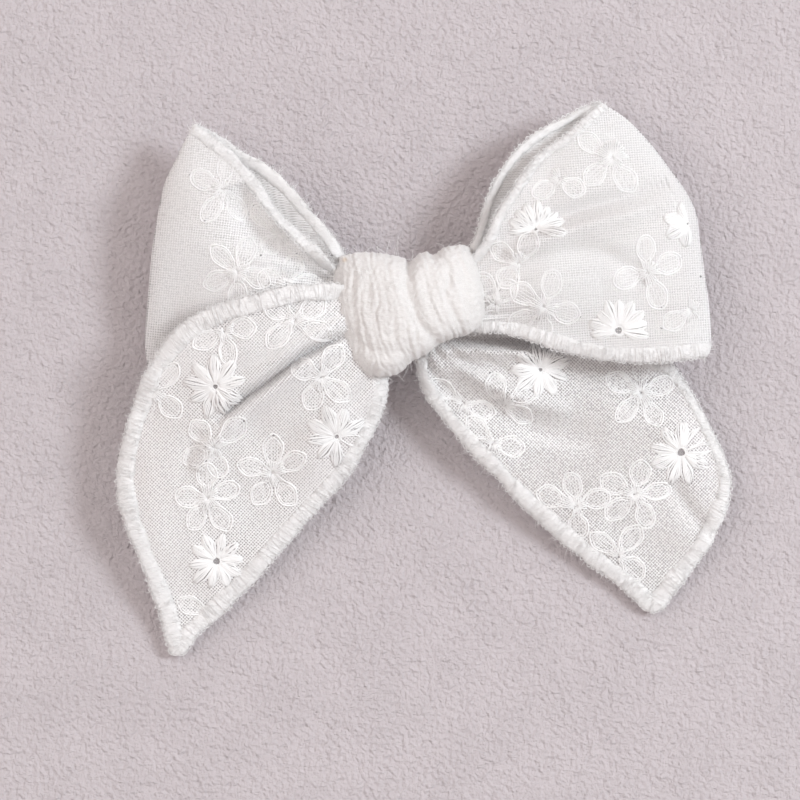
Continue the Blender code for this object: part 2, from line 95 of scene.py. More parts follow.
def evenCurve(points, count):
    # the smooth curve through the points, with its points an equal length apart
    fine = readRows(points, np.linspace(0, 1, 40 * len(points)))
    run = np.concatenate([[0.0], np.cumsum(np.linalg.norm(np.diff(fine, axis=0), axis=1))])
    marks = np.linspace(0, run[-1], count)
    return np.stack([np.interp(marks, run, fine[:, k]) for k in range(fine.shape[1])], axis=1)


def unit(vectors):
    return vectors / np.maximum(np.linalg.norm(vectors, axis=-1, keepdims=True), 1e-9)


def gridQuads(rows, columns, wrapColumns=False, wrapRows=False):
    r = np.arange(rows if wrapRows else rows - 1)[:, None]
    c = np.arange(columns if wrapColumns else columns - 1)[None, :]
    nextR, nextC = (r + 1) % rows, (c + 1) % columns
    corners = [r * columns + c, r * columns + nextC, nextR * columns + nextC, nextR * columns + c]
    return np.stack([np.broadcast_to(k, (r.size, c.size)) for k in corners], axis=-1).reshape(-1, 4)


def buildMesh(name, points, quads, material, uv=None, caps=None, layers=None):
    # points in millimetres; quads and caps are index arrays; uv and layers are per point
    mesh = bpy.data.meshes.new(name)
    blocks = [np.asarray(quads)] + ([np.asarray(caps)] if caps is not None else [])
    loops = np.concatenate([b.ravel() for b in blocks]).astype(np.int32)
    sizes = np.concatenate([np.full(len(b), b.shape[1]) for b in blocks])
    mesh.vertices.add(len(points))
    mesh.vertices.foreach_set("co", (np.asarray(points) * mm).astype(np.float32).ravel())
    mesh.loops.add(len(loops))
    mesh.loops.foreach_set("vertex_index", loops)
    mesh.polygons.add(len(sizes))
    mesh.polygons.foreach_set("loop_start", np.concatenate([[0], np.cumsum(sizes)[:-1]]).astype(np.int32))
    mesh.polygons.foreach_set("use_smooth", np.ones(len(sizes), bool))
    if uv is not None:
        flat = mesh.uv_layers.new(name="clothMm")
        flat.data.foreach_set("uv", np.asarray(uv)[loops].astype(np.float32).ravel())
    for title, values in (layers or {}).items():
        mesh.attributes.new(title, "FLOAT", "POINT").data.foreach_set("value", values.astype(np.float32))
    mesh.update(calc_edges=True)
    mesh.validate()
    mesh.materials.append(material)
    piece = bpy.data.objects.new(name, mesh)
    bpy.context.scene.collection.objects.link(piece)
    return piece


def tubeSet(paths, radii, sides, up=(0.0, 0.0, 1.0), closed=False):
    # many round tubes at once: a ring of points round each place, square to the path; open ends are capped
    paths = np.asarray(paths, float)
    radii = np.broadcast_to(np.asarray(radii, float), paths.shape[:2])
    if closed:
        along = unit(np.roll(paths, -1, axis=1) - np.roll(paths, 1, axis=1))
    else:
        along = unit(np.gradient(paths, axis=1))
    side = unit(np.cross(along, np.broadcast_to(np.asarray(up, float), paths.shape)) + 1e-6)
    other = np.cross(along, side)
    turn = np.linspace(0, 2 * math.pi, sides, endpoint=False)
    ring = side[:, :, None] * np.cos(turn)[:, None] + other[:, :, None] * np.sin(turn)[:, None]
    points = paths[:, :, None] + ring * radii[:, :, None, None]
    tubes, places = paths.shape[:2]
    base = np.arange(tubes) * places * sides
    quads = (gridQuads(places, sides, True, closed)[None] + base[:, None, None]).reshape(-1, 4)
    order = np.arange(sides)
    caps = None if closed else np.concatenate([order[::-1][None] + base[:, None],
                                               order[None] + (base + (places - 1) * sides)[:, None]])
    return points.reshape(-1, 3), quads, caps


def mergedTubes(name, sets, material):
    # several tube sets with the same number of sides as one piece
    points, quads, caps, base = [], [], [], 0
    for p, q, c in sets:
        points.append(p)
        quads.append(q + base)
        if c is not None:
            caps.append(c + base)
        base += len(p)
    return buildMesh(name, np.concatenate(points), np.concatenate(quads), material,
                     caps=np.concatenate(caps) if caps else None)


# ---- materials


def addNode(tree, kind, at=None, **settings):
    node = tree.nodes.new(kind)
    for key, value in settings.items():
        setattr(node, key, value)
    for socket, value in (at or {}).items():
        target = node.inputs[socket]
        if isinstance(value, bpy.types.NodeSocket):
            tree.links.new(value, target)
        else:
            target.default_value = value
    return node


def mathNode(tree, operation, a, b=0.0, clamp=False):
    return addNode(tree, "ShaderNodeMath", {0: a, 1: b}, operation=operation, use_clamp=clamp).outputs[0]


def rangeNode(tree, value, low, high, toLow=0.0, toHigh=1.0):
    settings = {"Value": value, "From Min": low, "From Max": high, "To Min": toLow, "To Max": toHigh}
    return addNode(tree, "ShaderNodeMapRange", settings, interpolation_type="SMOOTHSTEP").outputs[0]


def mixColour(tree, factor, a, b, blend="MIX"):
    node = tree.nodes.new("ShaderNodeMix")
    node.data_type, node.blend_type = "RGBA", blend
    for index, value in ((0, factor), (6, a), (7, b)):
        if isinstance(value, bpy.types.NodeSocket):
            tree.links.new(value, node.inputs[index])
        else:
            node.inputs[index].default_value = value
    return node.outputs[2]


def newGroup(name, inputs, outputs):
    group = bpy.data.node_groups.new(name, "ShaderNodeTree")
    for title, kind in inputs:
        group.interface.new_socket(title, in_out="INPUT", socket_type=kind)
    for title, kind in outputs:
        group.interface.new_socket(title, in_out="OUTPUT", socket_type=kind)
    return group, group.nodes.new("NodeGroupInput"), group.nodes.new("NodeGroupOutput")


def weaveGroup():
    # plain weave: two sets of threads, each a half sine wave across its pitch, passing over and under by
    # turns; Cover is 1 on a thread and 0 in a gap, and the threads wander and change thickness a little
    number, vector = "NodeSocketFloat", "NodeSocketVector"
    tree, given, out = newGroup("plainWeave",
                                [("Place", vector), ("Pitch", number), ("Gap", number), ("Wander", number)],
                                [("Height", number), ("Cover", number)])
    place = given.outputs["Place"]
    slow = addNode(tree, "ShaderNodeTexNoise", {"Vector": place, "Scale": 0.55, "Detail": 2.0})
    shift = addNode(tree, "ShaderNodeVectorMath", {0: slow.outputs["Color"], 1: (0.5, 0.5, 0.5)},
                    operation="SUBTRACT")
    shift = addNode(tree, "ShaderNodeVectorMath", {0: shift.outputs[0], "Scale": given.outputs["Wander"]},
                    operation="SCALE")
    moved = addNode(tree, "ShaderNodeVectorMath", {0: place, 1: shift.outputs[0]}, operation="ADD")
    split = addNode(tree, "ShaderNodeSeparateXYZ", {0: moved.outputs[0]})
    waves = []
    for axis in ("X", "Y"):
        count = mathNode(tree, "DIVIDE", split.outputs[axis], given.outputs["Pitch"])
        waves.append(mathNode(tree, "SINE", mathNode(tree, "MULTIPLY", count, math.pi)))
    over = mathNode(tree, "MULTIPLY_ADD", mathNode(tree, "MULTIPLY", *waves), 0.5)
    over.node.inputs[2].default_value = 0.5
    thin = addNode(tree, "ShaderNodeTexNoise", {"Vector": place, "Scale": 1.9, "Detail": 1.0})
    gap = mathNode(tree, "ADD", given.outputs["Gap"], rangeNode(tree, thin.outputs[0], 0.3, 0.7, -0.12, 0.12))
    heights, covers = [], []
    for index, wave in enumerate(waves):
        swell = mathNode(tree, "ABSOLUTE", wave)
        covers.append(rangeNode(tree, swell, gap, mathNode(tree, "ADD", gap, 0.22)))
        lift = over if index == 0 else mathNode(tree, "SUBTRACT", 1.0, over)
        heights.append(mathNode(tree, "MULTIPLY", swell, rangeNode(tree, lift, 0.0, 1.0, 0.45, 1.0)))
    tree.links.new(mathNode(tree, "MAXIMUM", *heights), out.inputs["Height"])
    tree.links.new(mathNode(tree, "MAXIMUM", *covers), out.inputs["Cover"])
    return tree


def lintGroup():
    # fine cotton fibres: noise stretched three ways at once, added up
    number = "NodeSocketFloat"
    tree, given, out = newGroup("cottonLint", [("Place", "NodeSocketVector"), ("Scale", number)],
                                [("Height", number), ("Tone", number)])
    place = given.outputs["Place"]
    total = None
    for turn, stretch in ((0.3, 5.0), (1.4, 7.0), (2.5, 4.0)):
        mapped = addNode(tree, "ShaderNodeMapping", {"Vector": place, "Rotation": (turn, 0.4, turn),
                                                     "Scale": (1.0, stretch, stretch)})
        settings = {"Vector": mapped.outputs[0], "Scale": given.outputs["Scale"], "Detail": 3.0,
                    "Distortion": 0.6}
        noise = addNode(tree, "ShaderNodeTexNoise", settings)
        total = noise.outputs[0] if total is None else mathNode(tree, "ADD", total, noise.outputs[0])
    tree.links.new(mathNode(tree, "MULTIPLY", total, 0.333), out.inputs["Height"])
    soft = addNode(tree, "ShaderNodeTexNoise", {"Vector": place, "Scale": 0.05, "Detail": 2.0})
    tree.links.new(soft.outputs[0], out.inputs["Tone"])
    return tree


def wearGroup():
    # handling wear on plated metal: fine directional scratches, cloudy finger marks, and specks
    number = "NodeSocketFloat"
    tree, given, out = newGroup("platingWear", [("Place", "NodeSocketVector")],
                                [("Scratch", number), ("Cloud", number), ("Speck", number)])
    place = given.outputs["Place"]
    line = addNode(tree, "ShaderNodeMapping", {"Vector": place, "Scale": (180.0, 2600.0, 900.0),
                                               "Rotation": (0.0, 0.0, 0.12)})
    scratch = addNode(tree, "ShaderNodeTexNoise", {"Vector": line.outputs[0], "Scale": 1.0, "Detail": 4.0})
    cloud = addNode(tree, "ShaderNodeTexNoise", {"Vector": place, "Scale": 260.0, "Detail": 4.0})
    speck = addNode(tree, "ShaderNodeTexVoronoi", {"Vector": place, "Scale": 900.0})
    tree.links.new(rangeNode(tree, scratch.outputs[0], 0.52, 0.68), out.inputs["Scratch"])
    tree.links.new(rangeNode(tree, cloud.outputs[0], 0.35, 0.7), out.inputs["Cloud"])
    tree.links.new(rangeNode(tree, speck.outputs["Distance"], 0.1, 0.0), out.inputs["Speck"])
    return tree


weave, lint, wear = weaveGroup(), lintGroup(), wearGroup()


def startMaterial(name, colour, roughness, **constants):
    material = bpy.data.materials.new(name)
    material.use_nodes = True
    shader = material.node_tree.nodes["Principled BSDF"]
    shader.inputs["Base Color"].default_value = (*colour, 1.0)
    shader.inputs["Roughness"].default_value = roughness
    for socket, value in constants.items():
        shader.inputs[socket.replace("_", " ")].default_value = value
    return material, material.node_tree, shader


def placeGroup(tree, group, vector, **values):
    node = tree.nodes.new("ShaderNodeGroup")
    node.node_tree = group
    tree.links.new(vector, node.inputs["Place"])
    for title, value in values.items():
        node.inputs[title].default_value = value
    return node


def bumpFrom(tree, shader, height, distance, strength=1.0, under=None):
    settings = {"Height": height, "Distance": distance, "Strength": strength}
    if under is not None:
        settings["Normal"] = under
    bump = addNode(tree, "ShaderNodeBump", settings)
    tree.links.new(bump.outputs[0], shader.inputs["Normal"])
    return bump.outputs[0]


# the sunk colour is painted shade for the weave's low places
clothLook = {"white": (0.985, 0.981, 0.98), "shade": (0.955, 0.938, 0.932), "sunk": (0.73, 0.695, 0.685),
             "pitch": 0.458, "wander": 0.12, "bumpMm": 0.08, "fibreScale": 2.2, "fibreBumpMm": 0.05,
             "eyeletAlpha": 0.3, "backAlpha": 0.85, "thickness": 0.22, "edgeMargin": 0.9, "run": 60.0}


def objectPlace(tree):
    return addNode(tree, "ShaderNodeTexCoord").outputs["Object"]


def placeInMm(tree):
    grown = {0: objectPlace(tree), 1: (1 / mm,) * 3}
    return addNode(tree, "ShaderNodeVectorMath", grown, operation="MULTIPLY").outputs[0]


def planDistance(tree, place, centre):
    # how far a place is from a centre, seen from above
    plan = addNode(tree, "ShaderNodeVectorMath", {0: place, 1: (1.0, 1.0, 0.0)}, operation="MULTIPLY")
    return addNode(tree, "ShaderNodeVectorMath", {0: plan.outputs[0], 1: (*centre, 0.0)},
                   operation="DISTANCE").outputs["Value"]


def voileMaterial(name, eyelets, frontOnly, gap, tone):
    # sheer plain weave: the gaps let through what lies behind, and each eyelet is a round, mostly clear
    # hole; a loop's back layer is closer and has no eyelets
    material, tree, shader = startMaterial(name, clothLook["white"], 0.92, Sheen_Weight=0.25,
                                           Sheen_Roughness=0.5, Specular_IOR_Level=0.25)
    flat = addNode(tree, "ShaderNodeUVMap", uv_map="clothMm").outputs[0]
    woven = placeGroup(tree, weave, flat, Pitch=clothLook["pitch"], Gap=gap, Wander=clothLook["wander"])
    fibres = placeGroup(tree, lint, flat, Scale=clothLook["fibreScale"])
    shades = [(*(tone * c for c in clothLook[key]), 1) for key in ("shade", "white", "sunk")]
    colour = mixColour(tree, rangeNode(tree, fibres.outputs["Tone"], 0.35, 0.65), *shades[:2])
    # painted shade: the weave's low places, between the threads and at their edges, take on the darker sunk
    # colour
    sunk = rangeNode(tree, woven.outputs["Height"], 0.2, 0.9, 0.6, 0.0)
    tree.links.new(mixColour(tree, sunk, colour, shades[2]), shader.inputs["Base Color"])
    alpha = rangeNode(tree, woven.outputs["Cover"], 0.0, 1.0)
    place = objectPlace(tree)
    if frontOnly:
        backLayer = addNode(tree, "ShaderNodeAttribute", attribute_name="backLayer").outputs["Fac"]
        kept = mathNode(tree, "MULTIPLY", backLayer, clothLook["backAlpha"])
        alpha = mathNode(tree, "MAXIMUM", alpha, kept)
    for x, y, radius in eyelets:
        away = planDistance(tree, place, (np.array([x, y]) + bowMiddle) * mm)
        hole = rangeNode(tree, away, radius * mm * 0.97, radius * mm * 1.03, clothLook["eyeletAlpha"], 1.0)
        if frontOnly:
            hole = mathNode(tree, "MAXIMUM", hole, backLayer)
        alpha = mathNode(tree, "MULTIPLY", alpha, hole)
    tree.links.new(alpha, shader.inputs["Alpha"])
    soft = bumpFrom(tree, shader, fibres.outputs["Height"], clothLook["fibreBumpMm"] * mm, 0.5)
    bumpFrom(tree, shader, woven.outputs["Height"], clothLook["bumpMm"] * mm, 1.0, soft)
    return material


def flossMaterial(name, white, bumpMm, scale, roughness):
    # loose cotton thread: fibre bump, and painted shade: the colour darkens where the fibre bump is low
    material, tree, shader = startMaterial(name, white, roughness, Sheen_Weight=0.3, Sheen_Roughness=0.4,
                                           Specular_IOR_Level=0.3)
    fibres = placeGroup(tree, lint, placeInMm(tree), Scale=scale)
    tone = rangeNode(tree, fibres.outputs["Height"], 0.35, 0.62)
    dark = tuple(0.93 * c for c in white)
    tree.links.new(mixColour(tree, tone, (*dark, 1), (*white, 1)), shader.inputs["Base Color"])
    bumpFrom(tree, shader, fibres.outputs["Height"], bumpMm * mm, 0.8)
    return material


floss = flossMaterial("embroideryFloss", (0.955, 0.95, 0.946), 0.05, 3.0, 0.6)
overlockThread = flossMaterial("overlockThread", (0.985, 0.974, 0.97), 0.5, 1.5, 0.9)
lintFibre = flossMaterial("lintFibre", (0.985, 0.98, 0.975), 0.02, 4.0, 0.8)
sewingThread = flossMaterial("sewingThread", (0.92, 0.915, 0.90), 0.05, 5.0, 0.6)
print("materials ready")

# ---- cloth shapes: edge lines in plan, a net of heights, the room between a loop's layers, and folds as
# (line, height, width)

leftTail = {
    "lower": [(-13, 6.4), (-9.8, 2.4), (-7.7, -1.5), (-7.9, -4.8), (-9.2, -8.6), (-11.5, -13.2), (-15, -18.6),
              (-20, -24), (-26, -30.6), (-31, -36.4), (-36, -41.4), (-40.5, -45.8), (-44.2, -49.2),
              (-46.7, -53.4)],
    "upper": [(-13, 16.8), (-17, 17), (-25, 16.5), (-33, 14.5), (-40, 12.3), (-44.5, 9.7), (-48, 6),
              (-50.8, 2), (-52.6, -3), (-54.3, -8), (-55.5, -13.5), (-56.1, -19)],
    "end": [(-46.7, -53.4), (-47.8, -49), (-49.3, -43), (-51.1, -38), (-52.9, -33), (-54.4, -29),
            (-55.6, -24), (-56.1, -19)],
    "net": [(13.2, 14.6, 15.2, 15.3, 15.2), (9.0, 13.8, 16.4, 17.2, 17.2), (5.6, 9.6, 12.8, 15.0, 15.2),
            (3.2, 6.0, 8.6, 10.4, 11.0), (1.4, 3.2, 5.4, 7.2, 8.2)],
    "folds": [
        ([(-13, 8.6), (-17, 6.9), (-22, 4.5), (-26, 1.6), (-30, -1.4), (-33, -3.4), (-36, -5.8),
          (-39, -8.4)], -3.6, 0.85),
        ([(-14, 10.2), (-22, 6.9), (-28, 2.8), (-34, -1.6), (-39, -5.4)], 1.4, 1.5),
        ([(-14, 6), (-20, 3.4), (-25, 0.4), (-30, -3.4), (-34.5, -7.2), (-39, -11.4), (-43, -17)], 1.9, 1.8),
        ([(-14, 11), (-20, 10), (-27, 7), (-34, 2.5), (-40, -3)], 0.9, 3.0),
        ([(-9.5, 1.2), (-12, -2.5), (-14.5, -5.4)], -1.0, 0.9),
        ([(-11.5, 1.8), (-15, -4), (-21, -11), (-28, -18)], 0.7, 2.2),
        ([(-12, -7), (-20, -15), (-28, -25), (-36, -36)], 0.8, 3.5),
        ([(-41, -10), (-44, -14), (-45.5, -20)], -0.7, 1.6),
        ([(-24, -9), (-30, -24), (-37, -35)], -0.9, 3.4),
        ([(-50, -12), (-51, -24), (-47, -36)], 0.6, 3.0)],
    "pleats": {"count": 7.5, "height": 0.55, "reach": 9.0}, "weaveTurn": 47, "edgeInset": 1.35, "seed": 3}
rightTail = {
    "lower": [(1.8, 5.4), (-1.6, 2.2), (-1.3, -1.5), (0.6, -5), (4, -9.4), (8, -14), (12, -18), (16, -22.3),
              (20, -26), (25, -30.4), (30, -34.6), (35, -38.2), (39, -41.6), (42.5, -44.7)],
    "upper": [(2.2, 16), (7, 13), (14, 10.6), (24, 8.4), (35, 5.6), (44.8, 2.6)],
    "end": [(42.5, -44.7), (45.2, -42), (48, -38.2), (51, -34.6), (53.6, -30.6), (55.6, -26.2), (57, -22),
            (57, -18.6), (55.8, -14.8), (53.7, -10.5), (51.6, -6.3), (49, -2), (46.6, 1.2), (44.8, 2.6)],
    "net": [(9.0, 9.2, 9.6, 9.8, 9.6), (7.0, 8.4, 9.3, 9.4, 8.6), (4.6, 6.4, 7.6, 7.6, 6.2),
            (2.8, 4.8, 6.0, 5.8, 4.6), (1.5, 3.2, 4.6, 5.0, 4.2)],
    "folds": [
        ([(0, 5.2), (8, 5), (15, 4.8), (20, 4.6), (27, 4.2)], 2.6, 1.2),
        ([(3, 8.6), (10, 7.8), (18, 7.2), (26, 6.4)], -3.4, 1.3),
        ([(0, 4), (8, 0.8), (15, -2.4), (20, -4.6), (27, -6.4)], 2.3, 1.6),
        ([(4, 3.4), (10, 2.6), (17, 0.5)], -0.8, 1.2),
        ([(1, 0), (7, -3.5), (14, -7), (22, -10), (33, -12)], -2.0, 2.5),
        ([(18, -8), (26, -8.5), (34, -9.5)], -0.7, 2.6),
        ([(8, -11), (17, -18), (28, -26), (38, -34)], 0.5, 2.4),
        ([(45.5, -19), (49, -24.5), (53, -29)], -1.6, 1.7),
        ([(42, -8), (49, -13), (53, -19)], 0.7, 3.2)],
    "pleats": {"count": 7.5, "height": 0.65, "reach": 10.0}, "weaveTurn": -43, "edgeInset": 1.5, "seed": 8,
    "look": {"along": [(0, 0.6), (0.08, 0.75), (0.16, 1), (0.5, 1), (0.57, 0.6), (0.7, 0.5), (0.8, 0.7),
                       (1, 0.7)]}}
leftLoop = {
    "lower": [(-13, 8.8), (-21, 6.0), (-33, 2.0), (-51.2, -0.5)],
    "upper": [(-13, 17.5), (-15.4, 19.4), (-17.5, 21.4), (-22, 26), (-27, 30.8), (-31.4, 37), (-36.4, 42.4),
              (-42.6, 47.2)],
    "backLower": [(-13, 8.8), (-21, 6.6), (-33, 3.0), (-51.2, -0.5)],
    "backUpper": [(-13, 17.8), (-14.4, 21), (-16, 24.6), (-18.2, 27.6), (-21.5, 31.4), (-25.2, 35.8),
                  (-29.4, 39.4), (-34, 42), (-38.4, 44.9), (-42.6, 47.2)],
    "end": [(-51.2, -0.5), (-52, 5), (-52, 9), (-51.4, 16), (-50.6, 24), (-49.6, 30), (-48.3, 36),
            (-46.2, 40.4), (-44.6, 43.8), (-42.6, 47.2)],
    "net": [(11.0,) * 5, (12.0, 12.4, 12.8, 12.8, 12.6), (9.0, 10.6, 11.8, 12.2, 12.2),
            (6.8, 8.6, 10.2, 11.2, 11.4), (5.4, 7.2, 8.8, 9.8, 10.2)],
    "room": (2.0, 2.8, 4.0, 3.4, 1.1), "rootRoom": 1.1,
    "folds": [
        ([(-17, 18.6), (-22, 20.6), (-28, 23.6), (-32.4, 28.6), (-35, 36)], -3.4, 2.6),
        ([(-17, 20.2), (-22, 24.4), (-27, 28.6), (-32, 34.6)], 1.9, 1.5),
        ([(-16, 17.6), (-21, 18.9), (-27, 20.2), (-33, 20.6)], -1.6, 0.8),
        ([(-17, 16.4), (-24, 17.4), (-31, 18.2)], 0.9, 1.2),
        ([(-30, 15), (-38, 14), (-46, 11)], 1.1, 3.0),
        ([(-36, 24), (-42, 25), (-47, 24)], 0.4, 3.4),
        ([(-33, 12), (-42, 9), (-50, 6)], -0.8, 2.6)],
    "pleats": {"count": 7.5, "height": 0.8, "reach": 10.0}, "weaveTurn": -6, "edgeInset": 1.1, "seed": 5}
rightLoop = {
    "lower": [(2.2, 8.6), (8, 8.8), (13, 8.7), (17, 8.0), (21, 6.5), (25, 5.2), (31, 3.8), (37, 3.2),
              (43, 3.2), (48, 3.8), (51.8, 4.2)],
    "upper": [(2.2, 16.8), (6, 20), (9, 23.2), (11, 26), (13, 31), (16, 35.4), (20, 41), (25, 44.6), (32, 51)],
    "backLower": [(2.2, 8.6), (10, 9.4), (20, 8.2), (31, 5.2), (42, 4.4), (51.8, 4.2)],
    "backUpper": [(2.2, 17), (5.5, 21), (8.4, 25.4), (9.5, 28.5), (10.4, 32), (12, 36), (14.2, 39.7), (17, 43),
                  (20.3, 45.7), (25, 48.2), (29, 50.2), (32, 51)],
    "end": [(51.8, 4.2), (52.6, 7.5), (52.4, 12), (51.9, 16), (51.2, 21), (50.5, 26), (49.8, 30.5), (48, 34.4),
            (45, 38.6), (42, 42.6), (39, 46), (36, 48.7), (32, 51)],
    "net": [(12.6,) * 5, (11.9, 13.1, 13.4, 13.3, 13.0), (11.6, 12.8, 13.3, 13.0, 12.7),
            (11.4, 12.2, 12.6, 12.2, 11.8), (10.6, 10.8, 10.9, 10.6, 10.2)],
    "room": (2.3, 4.2, 4.8, 3.6, 1.1), "rootRoom": 1.3,
    "folds": [
        ([(14, 22.6), (22, 25.4), (30, 28), (38, 30.2), (46, 33)], 1.7, 1.5),
        ([(13, 25), (21, 28.4), (29, 31.2), (37, 33.4), (45, 36)], -2.4, 1.6),
        ([(12, 20.6), (20, 21.6), (30, 23.6), (36, 21), (40, 17)], -1.2, 1.8),
        ([(12, 14), (22, 17), (32, 17.5)], 0.6, 3.4),
        ([(10, 25), (13, 30), (17, 36), (22, 41.5)], 0.9, 1.8),
        ([(12, 10.5), (22, 9.5), (34, 9)], -0.6, 2.2),
        ([(44, 12), (49, 18), (50, 26)], 0.5, 2.6)],
    "pleats": {"count": 7.5, "height": 0.65, "reach": 10.0}, "weaveTurn": 4, "edgeInset": 1.1, "seed": 11}
clothRules = {"foldSquareness": 10, "roomGrowsOver": 0.5, "pleatRun": 55.0, "ripple": 0.055,
              "backDetail": 0.4, "lowest": 0.9}


def readyPanel(panel):
    for key in ("lower", "upper", "end", "backLower", "backUpper"):
        if key in panel:
            panel[key + "Curve"] = evenCurve(np.array(panel[key], float) + bowMiddle, 33)
    for points, height, width in panel["folds"]:
        curve = evenCurve(np.array(points, float) + bowMiddle, 36)
        panel.setdefault("foldCurves", []).append((curve, height, width))
    draw = np.random.default_rng(panel["seed"])
    heading, wavelength = draw.uniform(0, math.pi, 9), draw.uniform(5, 17, 9)
    panel["waves"] = [(math.cos(a) / w, math.sin(a) / w, p) for a, w, p in
                      zip(heading, wavelength, draw.uniform(0, 6.28, 9))]


def foldHeight(panel, x, y):
    # each fold is a bell-shaped ridge or valley along its line, fading at both ends
    total = np.zeros_like(x)
    for curve, height, width in panel["foldCurves"]:
        apart = (x[..., None] - curve[:, 0]) ** 2 + (y[..., None] - curve[:, 1]) ** 2
        share = np.argmin(apart, axis=-1) / (len(curve) - 1)
        taper = np.clip(4 * share * (1 - share), 0, 1) ** 0.5
        total += height * taper * np.exp(-apart.min(axis=-1) / width**2)
    return total


def clothPlan(panel, u, v, back=False):
    # places in plan from the four edge curves
    lower, upper = ("backLowerCurve", "backUpperCurve") if back else ("lowerCurve", "upperCurve")
    low, high, far = readRows(panel[lower], u), readRows(panel[upper], u), readRows(panel["endCurve"], v)
    vv, uu = v[..., None], u[..., None]
    straight = (1 - vv) * panel["endCurve"][0] + vv * panel["endCurve"][-1]
    return (1 - vv) * low + vv * high + uu * (far - straight)


def clothPoint(panel, u, v, back=False):
    # the plan, raised by the net of heights plus folds, pleats and slow waves; a loop's layers part by
    # its room, which closes round the far fold
    plan = clothPlan(panel, u, v, back)
    x, y = plan[..., 0], plan[..., 1]
    z = readAcross(readRows(panel["net"], u), v)
    pleats = panel["pleats"]
    run = u * clothRules["pleatRun"]
    wave = np.cos(2 * math.pi * pleats["count"] * v + 1.6 * np.sin(7 * v + panel["seed"]) + 0.02 * run)
    near = pleats["height"] * np.exp(-run / pleats["reach"]) * wave
    ripple = sum(np.cos(2 * math.pi * (kx * x + ky * y) + p) for kx, ky, p in panel["waves"])
    detail = near + ripple * clothRules["ripple"]
    if "room" in panel:
        grown = np.clip(u / clothRules["roomGrowsOver"], 0, 1)
        root = panel["rootRoom"]
        room = root + (readRows(panel["room"], v) - root) * grown**2 * (3 - 2 * grown)
        closing = np.sqrt(np.clip(1 - u**clothRules["foldSquareness"], 0, 1))
        detail = detail * closing
        if back:
            return np.stack([x, y, z - room * closing - clothRules["backDetail"] * detail], axis=-1)
        z = z + room * closing
        detail = detail + foldHeight(panel, x, y) * closing
    else:
        detail = detail + foldHeight(panel, x, y)
    return np.stack([x, y, np.maximum(z + detail, clothRules["lowest"])], axis=-1)


def panelShares(panel, rows, columns, inset):
    # even shares along and across, kept an inset from the long edges and the far end
    width = np.linalg.norm(panel["upperCurve"] - panel["lowerCurve"], axis=1)
    u = np.linspace(0, 1, rows)
    margin = np.clip(inset / readRows(width, u), 0, 0.3)
    v = margin[:, None] + np.linspace(0, 1, columns)[None] * (1 - 2 * margin[:, None])
    return np.repeat(u[:, None], columns, axis=1), v


def flatPlace(points, panel):
    turn = math.radians(panel["weaveTurn"])
    return np.stack([points[..., 0] * math.cos(turn) + points[..., 1] * math.sin(turn),
                     -points[..., 0] * math.sin(turn) + points[..., 1] * math.cos(turn)], axis=-1)


def solidCloth(piece):
    step = piece.modifiers.new("clothThickness", "SOLIDIFY")
    step.thickness, step.offset, step.use_rim = clothLook["thickness"] * mm, 0.0, True
    return piece


def orient(points, quads):
    # the grid's faces turned so that they face up where the cloth lies flat
    normal = np.cross(points[1, 0] - points[0, 0], points[0, 1] - points[0, 0])
    return quads if normal[2] < 0 else quads[:, ::-1]


def tailCloth(name, panel, material):
    margin = clothLook["edgeMargin"]
    u, v = panelShares(panel, 190, 150, margin)
    points = clothPoint(panel, u * (1 - margin / clothLook["run"]), v)
    quads = orient(points, gridQuads(*points.shape[:2]))
    flat = flatPlace(points, panel).reshape(-1, 2)
    return solidCloth(buildMesh(name, points.reshape(-1, 3), quads, material, uv=flat))


def loopCloth(name, panel, material):
    # out along the front, round the fold and back, closer together near the fold
    rows = 120
    u, v = panelShares(panel, rows, 140, clothLook["edgeMargin"])
    crowded = (1 - (1 - np.linspace(0, 1, rows)) ** 1.8)[:, None] * np.ones_like(u)
    across = v[np.clip((crowded[:, 0] * (rows - 1)).astype(int), 0, rows - 1)]
    front = clothPoint(panel, crowded, across)
    back = clothPoint(panel, crowded, across, back=True)[-2::-1]
    points = np.concatenate([front, back])
    flatFront, flatBack = flatPlace(front, panel), flatPlace(back, panel)
    flatBack[..., 0] = 2 * flatFront[-1:, :, 0] - flatBack[..., 0]
    layer = np.concatenate([np.zeros(front.shape[:2]), np.ones(back.shape[:2])])
    quads = orient(points, gridQuads(*points.shape[:2]))
    piece = buildMesh(name, points.reshape(-1, 3), quads, material, layers={"backLayer": layer.ravel()},
                      uv=np.concatenate([flatFront, flatBack]).reshape(-1, 2))
    return solidCloth(piece)


for panel in (leftTail, rightTail, leftLoop, rightLoop):
    readyPanel(panel)


